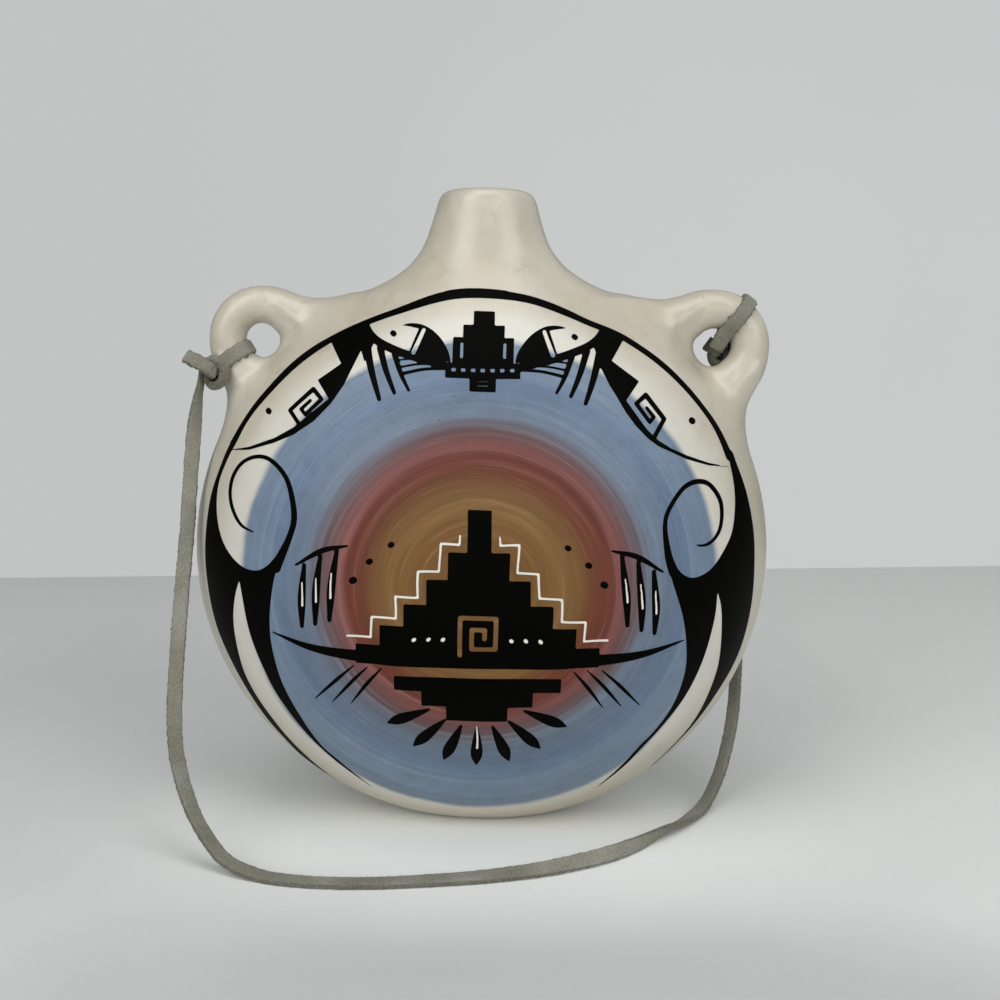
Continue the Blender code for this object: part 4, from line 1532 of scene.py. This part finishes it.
# How far the strip's face has turned from the front, at points of its route: 90 lies flat
LACE_TURNS = {
    0: 88, 1: 84, 2: 74, 3: 48, 4: 14, 5: 5, 6: 5, 7: 9, 9: 32, 10: 50, 11: 62, 12: 70, 13: 80,
    14: 85, 16: 84, 17: 76, 18: 56, 19: 24, 20: -40, 21: -84, 22: -112, 23: -126, 25: -134,
    29: -136, 35: -150,
}


@dataclass
class Lace:
    """The suede lace: its free stretch and its ties on the two ears."""

    clay: ClayBody
    strip: Strip = field(default_factory=Strip)
    torn: Strip = field(default_factory=lambda: Strip(ragged=0.15, seed=8))
    finish: SuedeFinish = field(default_factory=SuedeFinish)
    table_height: float = 1.6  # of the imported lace's centreline along the table
    lift_end: float = 9.0  # height at which the strip no longer follows the table
    pinch: float = 0.78  # share of the strip's section where the left knot squeezes it
    pinched: float = 16.0  # how far from the knot the strip has its full section again
    window: int = 31  # points of the path over which the strip's turns are smoothed
    clearance: float = 0.05  # between the strip and the table
    slack: float = 0.1  # between a loop and its coil
    loop_steps: int = 14

    def __post_init__(self) -> None:
        """Makes the one material that all of the lace wears."""
        self.suede = self.finish.material()

    def free_path(self) -> tuple[Array, Array]:
        """The free stretch's centreline and the direction of its width.

        The width starts square to the path in the plane of the front and turns about the path
        by the angles of LACE_TURNS. Where it lies on the table, the centre's height is the half
        width times the width's rise plus the half thickness times the rest.
        """
        route = np.array(LACE_ROUTE)
        path = smooth_line(route, self.strip.step)
        run = run_of(path)
        nearest = np.linalg.norm(path[None] - route[:, None], axis=2).argmin(axis=1)
        keys = list(LACE_TURNS)
        turn = np.interp(run, run[nearest[keys]], [LACE_TURNS[i] for i in keys])
        kernel = np.hanning(self.window) / np.hanning(self.window).sum()
        turn = np.convolve(np.pad(turn, self.window // 2, mode="edge"), kernel, mode="valid")
        turn = np.radians(turn)[:, None]
        tangent = unit(np.gradient(path, axis=0))
        level = unit(np.stack([-tangent[:, 2], np.zeros(len(path)), tangent[:, 0]], axis=1))
        back = unit(np.cross(tangent, level))
        back *= np.sign(back[:, 1:2])
        across = np.cos(turn) * level + np.sin(turn) * back
        rise = np.abs(across[:, 2])
        lift = rise * self.strip.width / 2 + np.sqrt(1.0 - rise**2) * self.strip.thickness / 2
        low = 1.0 - eased(path[:, 2], self.table_height, self.lift_end)
        path[:, 2] += (lift + self.clearance - self.table_height) * low
        return path, across

    def free(self) -> tuple[bpy.types.Object, Array]:
        """The free stretch and its path."""
        path, across = self.free_path()
        girth = self.pinch + (1.0 - self.pinch) * eased(run_of(path), 0.0, self.pinched)
        return self.strip.sweep("suede_lace", path, across, self.suede, girth), path

    def tie_strip(
        self,
        name: str,
        rows: Sequence[Sequence[float]],
        across: Sequence[float] | Array,
        tie_shade: Sequence[float] | float = 0.0,
    ) -> bpy.types.Object:
        """A short strip through points, with one direction of width and one amount of painted shade, or
        one for each.
        """
        points = np.array(rows, float)
        wide = np.broadcast_to(np.array(across, float), points.shape)
        dark = np.broadcast_to(np.array(tie_shade, float), len(points))[:, None]
        line = smooth_line(np.concatenate([points, wide, dark], axis=1), self.strip.step)
        shade = np.clip(line[:, 6], 0.0, 1.0)
        return self.torn.sweep(name, line[:, :3], line[:, 3:6], self.suede, tie_shade=shade)

    @staticmethod
    def coned(rows: Sequence[Sequence[float]], middle: Point, lean: float) -> Array:
        """Width directions that point back and, by lean, away from a coil's middle (x, z)."""
        out = np.array(rows)[:, [0, 2]] - np.array(middle)
        out = lean * unit(out)
        return np.stack([out[:, 0], np.ones(len(out)), out[:, 1]], axis=1)

    def loop(
        self,
        name: str,
        ear: Ear,
        turned: float,
        span: tuple[float, float],
        tails: tuple[Sequence[float], Sequence[float]],
    ) -> bpy.types.Object:
        """The strip round an ear's coil, between two points on the knot's side.

        Args:
            name: The piece's name.
            ear: The ear.
            turned: The place on the ear's arch, in degrees from its crown.
            span: Where the strip meets and leaves the coil, in degrees round the coil: 0 is
                the outer side and 90 the front.
            tails: The first and the last point of the strip.

        Returns:
            The loop.
        """
        a = math.radians(turned)
        away = ear.out * math.cos(a) + ear.up * math.sin(a)
        coil = ear.middle + away * ear.ring
        angles = np.radians(np.linspace(*span, self.loop_steps))
        reach = ear.coil + self.strip.thickness / 2 + self.slack
        front = np.array([0.0, -1.0, 0.0])
        round_coil = coil + reach * (np.cos(angles)[:, None] * away + np.sin(angles)[:, None] * front)
        rows = np.concatenate([[tails[0]], round_coil, [tails[1]]])
        return self.tie_strip(name, rows, np.cross(away, front))

    def left_tie(self) -> list[bpy.types.Object]:
        """The left ear's loop, knot and tail."""
        ends = ((-68.2, -8.2, 117.6), (-68.9, -5.2, 117.4))
        loop = self.loop("left_loop", self.clay.ears[0], -76.0, (98.0, 368.0), ends)
        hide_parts("left_hitch")
        rows = (
            (-71.7, -6.6, 116.0), (-71.1, -6.9, 119.0), (-69.1, -7.3, 120.6), (-66.9, -7.6, 120.0),
            (-65.7, -7.8, 117.9), (-66.0, -7.8, 115.6), (-67.5, -7.8, 114.2), (-69.3, -7.6, 114.0),
            (-70.2, -7.4, 115.3), (-70.0, -7.2, 117.2), (-68.8, -6.6, 118.5), (-67.8, -6.0, 117.4),
            (-67.6, -5.8, 115.8), (-68.6, -5.4, 115.0), (-69.6, -5.2, 115.9),
        )
        # painted shade, deepest in the knot's inner turns
        tie_shade = (0.5, 0.2, 0.0, 0.0, 0.0, 0.05, 0.15, 0.25, 0.5, 0.8, 1.0, 1.0, 1.0, 1.0, 1.0)
        wide = self.coned(rows, (-68.5, 117.2), 0.3)
        knot = self.tie_strip("left_overhand_knot", rows, wide, tie_shade)
        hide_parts("left_knot")
        rows = (
            (-67.7, -8.6, 117.3), (-69.2, -9.9, 118.5), (-71.2, -10.0, 119.7), (-73.2, -9.6, 120.6),
            (-75.1, -9.3, 121.3),
        )
        tail = self.tie_strip("left_lace_tail", rows, (0.4, 0.62, 0.68))
        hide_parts("left_tail")
        return [loop, knot, tail]

    def right_tie(self) -> list[bpy.types.Object]:
        """The right ear's loop, and the knot and tail that it is pulled against."""
        ends = ((59.6, 0.6, 125.6), (60.6, 6.0, 125.0))
        loop = self.loop("right_loop", self.clay.ears[1], 11.0, (143.0, -99.0), ends)
        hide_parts("right_hitch")
        rows = (
            (61.8, 6.2, 120.7), (64.0, 5.4, 122.4), (64.5, 5.0, 125.2), (63.6, 4.8, 127.4),
            (61.8, 4.6, 127.6), (60.1, 4.2, 126.2), (59.3, 3.8, 124.0), (59.8, 3.4, 122.0),
            (61.6, 3.2, 121.3), (63.0, 3.4, 122.8), (63.0, 3.8, 125.0), (61.8, 4.2, 125.8),
            (60.9, 4.6, 124.6), (61.5, 4.8, 123.4),
        )
        # painted shade: this knot lies in the shadow behind the hole
        tie_shade = (0.5, 0.5, 0.6, 0.9, 0.9, 0.7, 0.5, 0.4, 0.35, 0.5, 0.8, 0.9, 1.0, 1.0)
        wide = self.coned(rows, (61.8, 124.2), 0.25)
        knot = self.tie_strip("right_overhand_knot", rows, wide, tie_shade)
        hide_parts("right_knot")
        rows = ((61.4, 2.2, 124.4), (60.2, 2.8, 125.5), (59.2, 4.2, 126.3), (58.5, 5.8, 126.8))
        # painted shade on the tail inside the hole
        tie_shade = (0.3, 0.35, 0.45, 0.5)
        tail = self.tie_strip("right_lace_tail", rows, (0.45, 0.2, 0.87), tie_shade)
        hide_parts("right_tail")
        return [loop, knot, tail]

    def build(self) -> list[bpy.types.Object]:
        """All of the lace."""
        free, path = self.free()
        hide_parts("lace")
        left, right = self.left_tie(), self.right_tie()
        tuple(path[0] * MM)
        round(float(run_of(path)[-1])) * MM
        (path[::3] * MM).tolist()
        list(left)
        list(right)
        return [free, *left, *right]


@dataclass
class Viewpoint:
    """The camera, at the photograph's place and angle."""

    place: tuple[float, float, float] = (4.6, -312.3, 130.0)
    tilt: float = 0.143  # below the horizontal
    roll: float = math.radians(1.1)
    focal_pixels: float = 1199.0
    image_pixels: float = 1000.0
    sensor: float = 36.0
    clip: tuple[float, float] = (0.01, 20.0)  # nearest and farthest that it sees, in metres

    def build(self) -> None:
        """Makes the camera and gives it to the scene."""
        forward = np.array([0.0, math.cos(self.tilt), -math.sin(self.tilt)])
        level_up = np.array([0.0, math.sin(self.tilt), math.cos(self.tilt)])
        east = np.array([1.0, 0.0, 0.0])
        right = east * math.cos(self.roll) + level_up * math.sin(self.roll)
        up = level_up * math.cos(self.roll) - east * math.sin(self.roll)
        data = bpy.data.cameras.new("camera")
        data.sensor_width = self.sensor
        data.lens = self.sensor * self.focal_pixels / self.image_pixels
        data.clip_start, data.clip_end = self.clip
        camera = bpy.data.objects.new("camera", data)
        turned = np.eye(4)
        turned[:3, :3] = np.stack([right, up, -forward], axis=1)
        turned[:3, 3] = np.array(self.place) * MM
        camera.matrix_world = Matrix(turned.tolist())
        bpy.context.scene.collection.objects.link(camera)
        bpy.context.scene.camera = camera


@dataclass(frozen=True)
class Lamp:
    """A soft oblong lamp that faces the canteen from a place round it."""

    name: str
    azimuth: float  # in degrees from the front towards the right
    elevation: float
    size: Point
    power: float  # in watts


@dataclass
class Studio:
    """The table, the wall behind it and the soft light."""

    table: TableFinish = field(default_factory=TableFinish)
    wall: WallFinish = field(default_factory=WallFinish)
    table_edge: float = 318.6  # how far behind the canteen the table ends
    edge_slope: float = 0.1545  # how far that edge is turned from the picture's plane
    wall_distance: float = 1500.0
    half_width: float = 2600.0
    sky: float = 0.13
    sky_colour: Colour = (0.96, 0.98, 1.0)
    subject: tuple[float, float, float] = (0.0, 0.0, 80.0)
    lamp_distance: float = 1100.0
    lamps: tuple[Lamp, ...] = (
        Lamp("window_light", -40.0, 30.0, (600.0, 900.0), 4.9),
        Lamp("room_light", 42.0, 30.0, (560.0, 900.0), 3.45),
        Lamp("ceiling_light", 0.0, 69.0, (900.0, 700.0), 4.4),
        Lamp("front_light", 2.0, 12.0, (1200.0, 420.0), 2.2),
        Lamp("side_light", 122.0, 40.0, (900.0, 900.0), 1.25),
    )

    def sheet(
        self,
        name: str,
        corners: Sequence[tuple[float, float, float]],
        finish: TableFinish | WallFinish,
    ) -> None:
        """A flat sheet that isn't part of the canteen."""
        piece = mesh_piece(name, np.array(corners, float), [np.array([[0, 1, 2, 3]])])
        piece.data.materials.append(finish.material())

    def hang(self, lamp: Lamp) -> None:
        """Hangs a lamp round the canteen, turned towards it."""
        turn, rise = math.radians(lamp.azimuth), math.radians(lamp.elevation)
        flat = math.cos(rise)
        back = np.array([flat * math.sin(turn), -flat * math.cos(turn), math.sin(rise)])
        right = unit(np.cross([0.0, 0.0, 1.0], back))
        data = bpy.data.lights.new(lamp.name, "AREA")
        data.shape = "RECTANGLE"
        data.size, data.size_y = lamp.size[0] * MM, lamp.size[1] * MM
        data.energy = lamp.power
        turned = np.eye(4)
        turned[:3, :3] = np.stack([right, np.cross(back, right), back], axis=1)
        turned[:3, 3] = (np.array(self.subject) + self.lamp_distance * back) * MM
        hung = bpy.data.objects.new(lamp.name, data)
        hung.matrix_world = Matrix(turned.tolist())
        bpy.context.scene.collection.objects.link(hung)

    def light_sky(self) -> None:
        """A faint sky that lights the room, where the camera sees the wall's colour instead."""
        world = bpy.data.worlds.new("soft_sky")
        world.use_nodes = True
        tree = world.node_tree
        lit, seen = tree.nodes["Background"], tree.nodes.new("ShaderNodeBackground")
        skies = ((lit, self.sky_colour, self.sky), (seen, self.wall.left, 1.0))
        for background, colour, strength in skies:
            background.inputs["Color"].default_value = (*colour, 1.0)
            background.inputs["Strength"].default_value = strength
        path, mixed = tree.nodes.new("ShaderNodeLightPath"), tree.nodes.new("ShaderNodeMixShader")
        tree.links.new(path.outputs["Is Camera Ray"], mixed.inputs[0])
        tree.links.new(lit.outputs[0], mixed.inputs[1])
        tree.links.new(seen.outputs[0], mixed.inputs[2])
        tree.links.new(mixed.outputs[0], tree.nodes["World Output"].inputs["Surface"])
        bpy.context.scene.world = world

    def build(self) -> None:
        """Table, wall, lamps and sky."""
        w, far = self.half_width, self.wall_distance
        left, right = (self.table_edge + self.edge_slope * x for x in (-w, w))
        table = ((-w, -w, 0.0), (w, -w, 0.0), (w, right, 0.0), (-w, left, 0.0))
        self.sheet("table_top", table, self.table)
        wall = ((-w, far, -w), (w, far, -w), (w, far, w), (-w, far, w))
        self.sheet("back_wall", wall, self.wall)
        for lamp in self.lamps:
            self.hang(lamp)
        self.light_sky()
        bpy.context.scene.view_settings.view_transform = "Standard"


def report(piece: bpy.types.Object) -> None:
    """Rides a piece on the canteen and logs it."""
    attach(piece, "root")
    LOG.info("%s: %d faces", piece.name, len(piece.data.polygons))


def main() -> None:
    """Builds everything in order."""
    logging.basicConfig(level=logging.INFO, format="%(name)s %(message)s")
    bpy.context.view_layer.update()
    Viewpoint().build()
    clay = ClayBody()
    for piece in Lace(clay).build():
        report(piece)
    skin = clay.build(SlipFinish())
    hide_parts("front_shell", "back_shell", "neck", "left_ear", "right_ear")
    report(skin)
    for painting, paint in ((border_black(), BLACK), (middle_black(), BLACK), (middle_white(), WHITE)):
        report(painting.build(clay, paint))
    Studio().build()


if __name__ == "__main__":
    main()
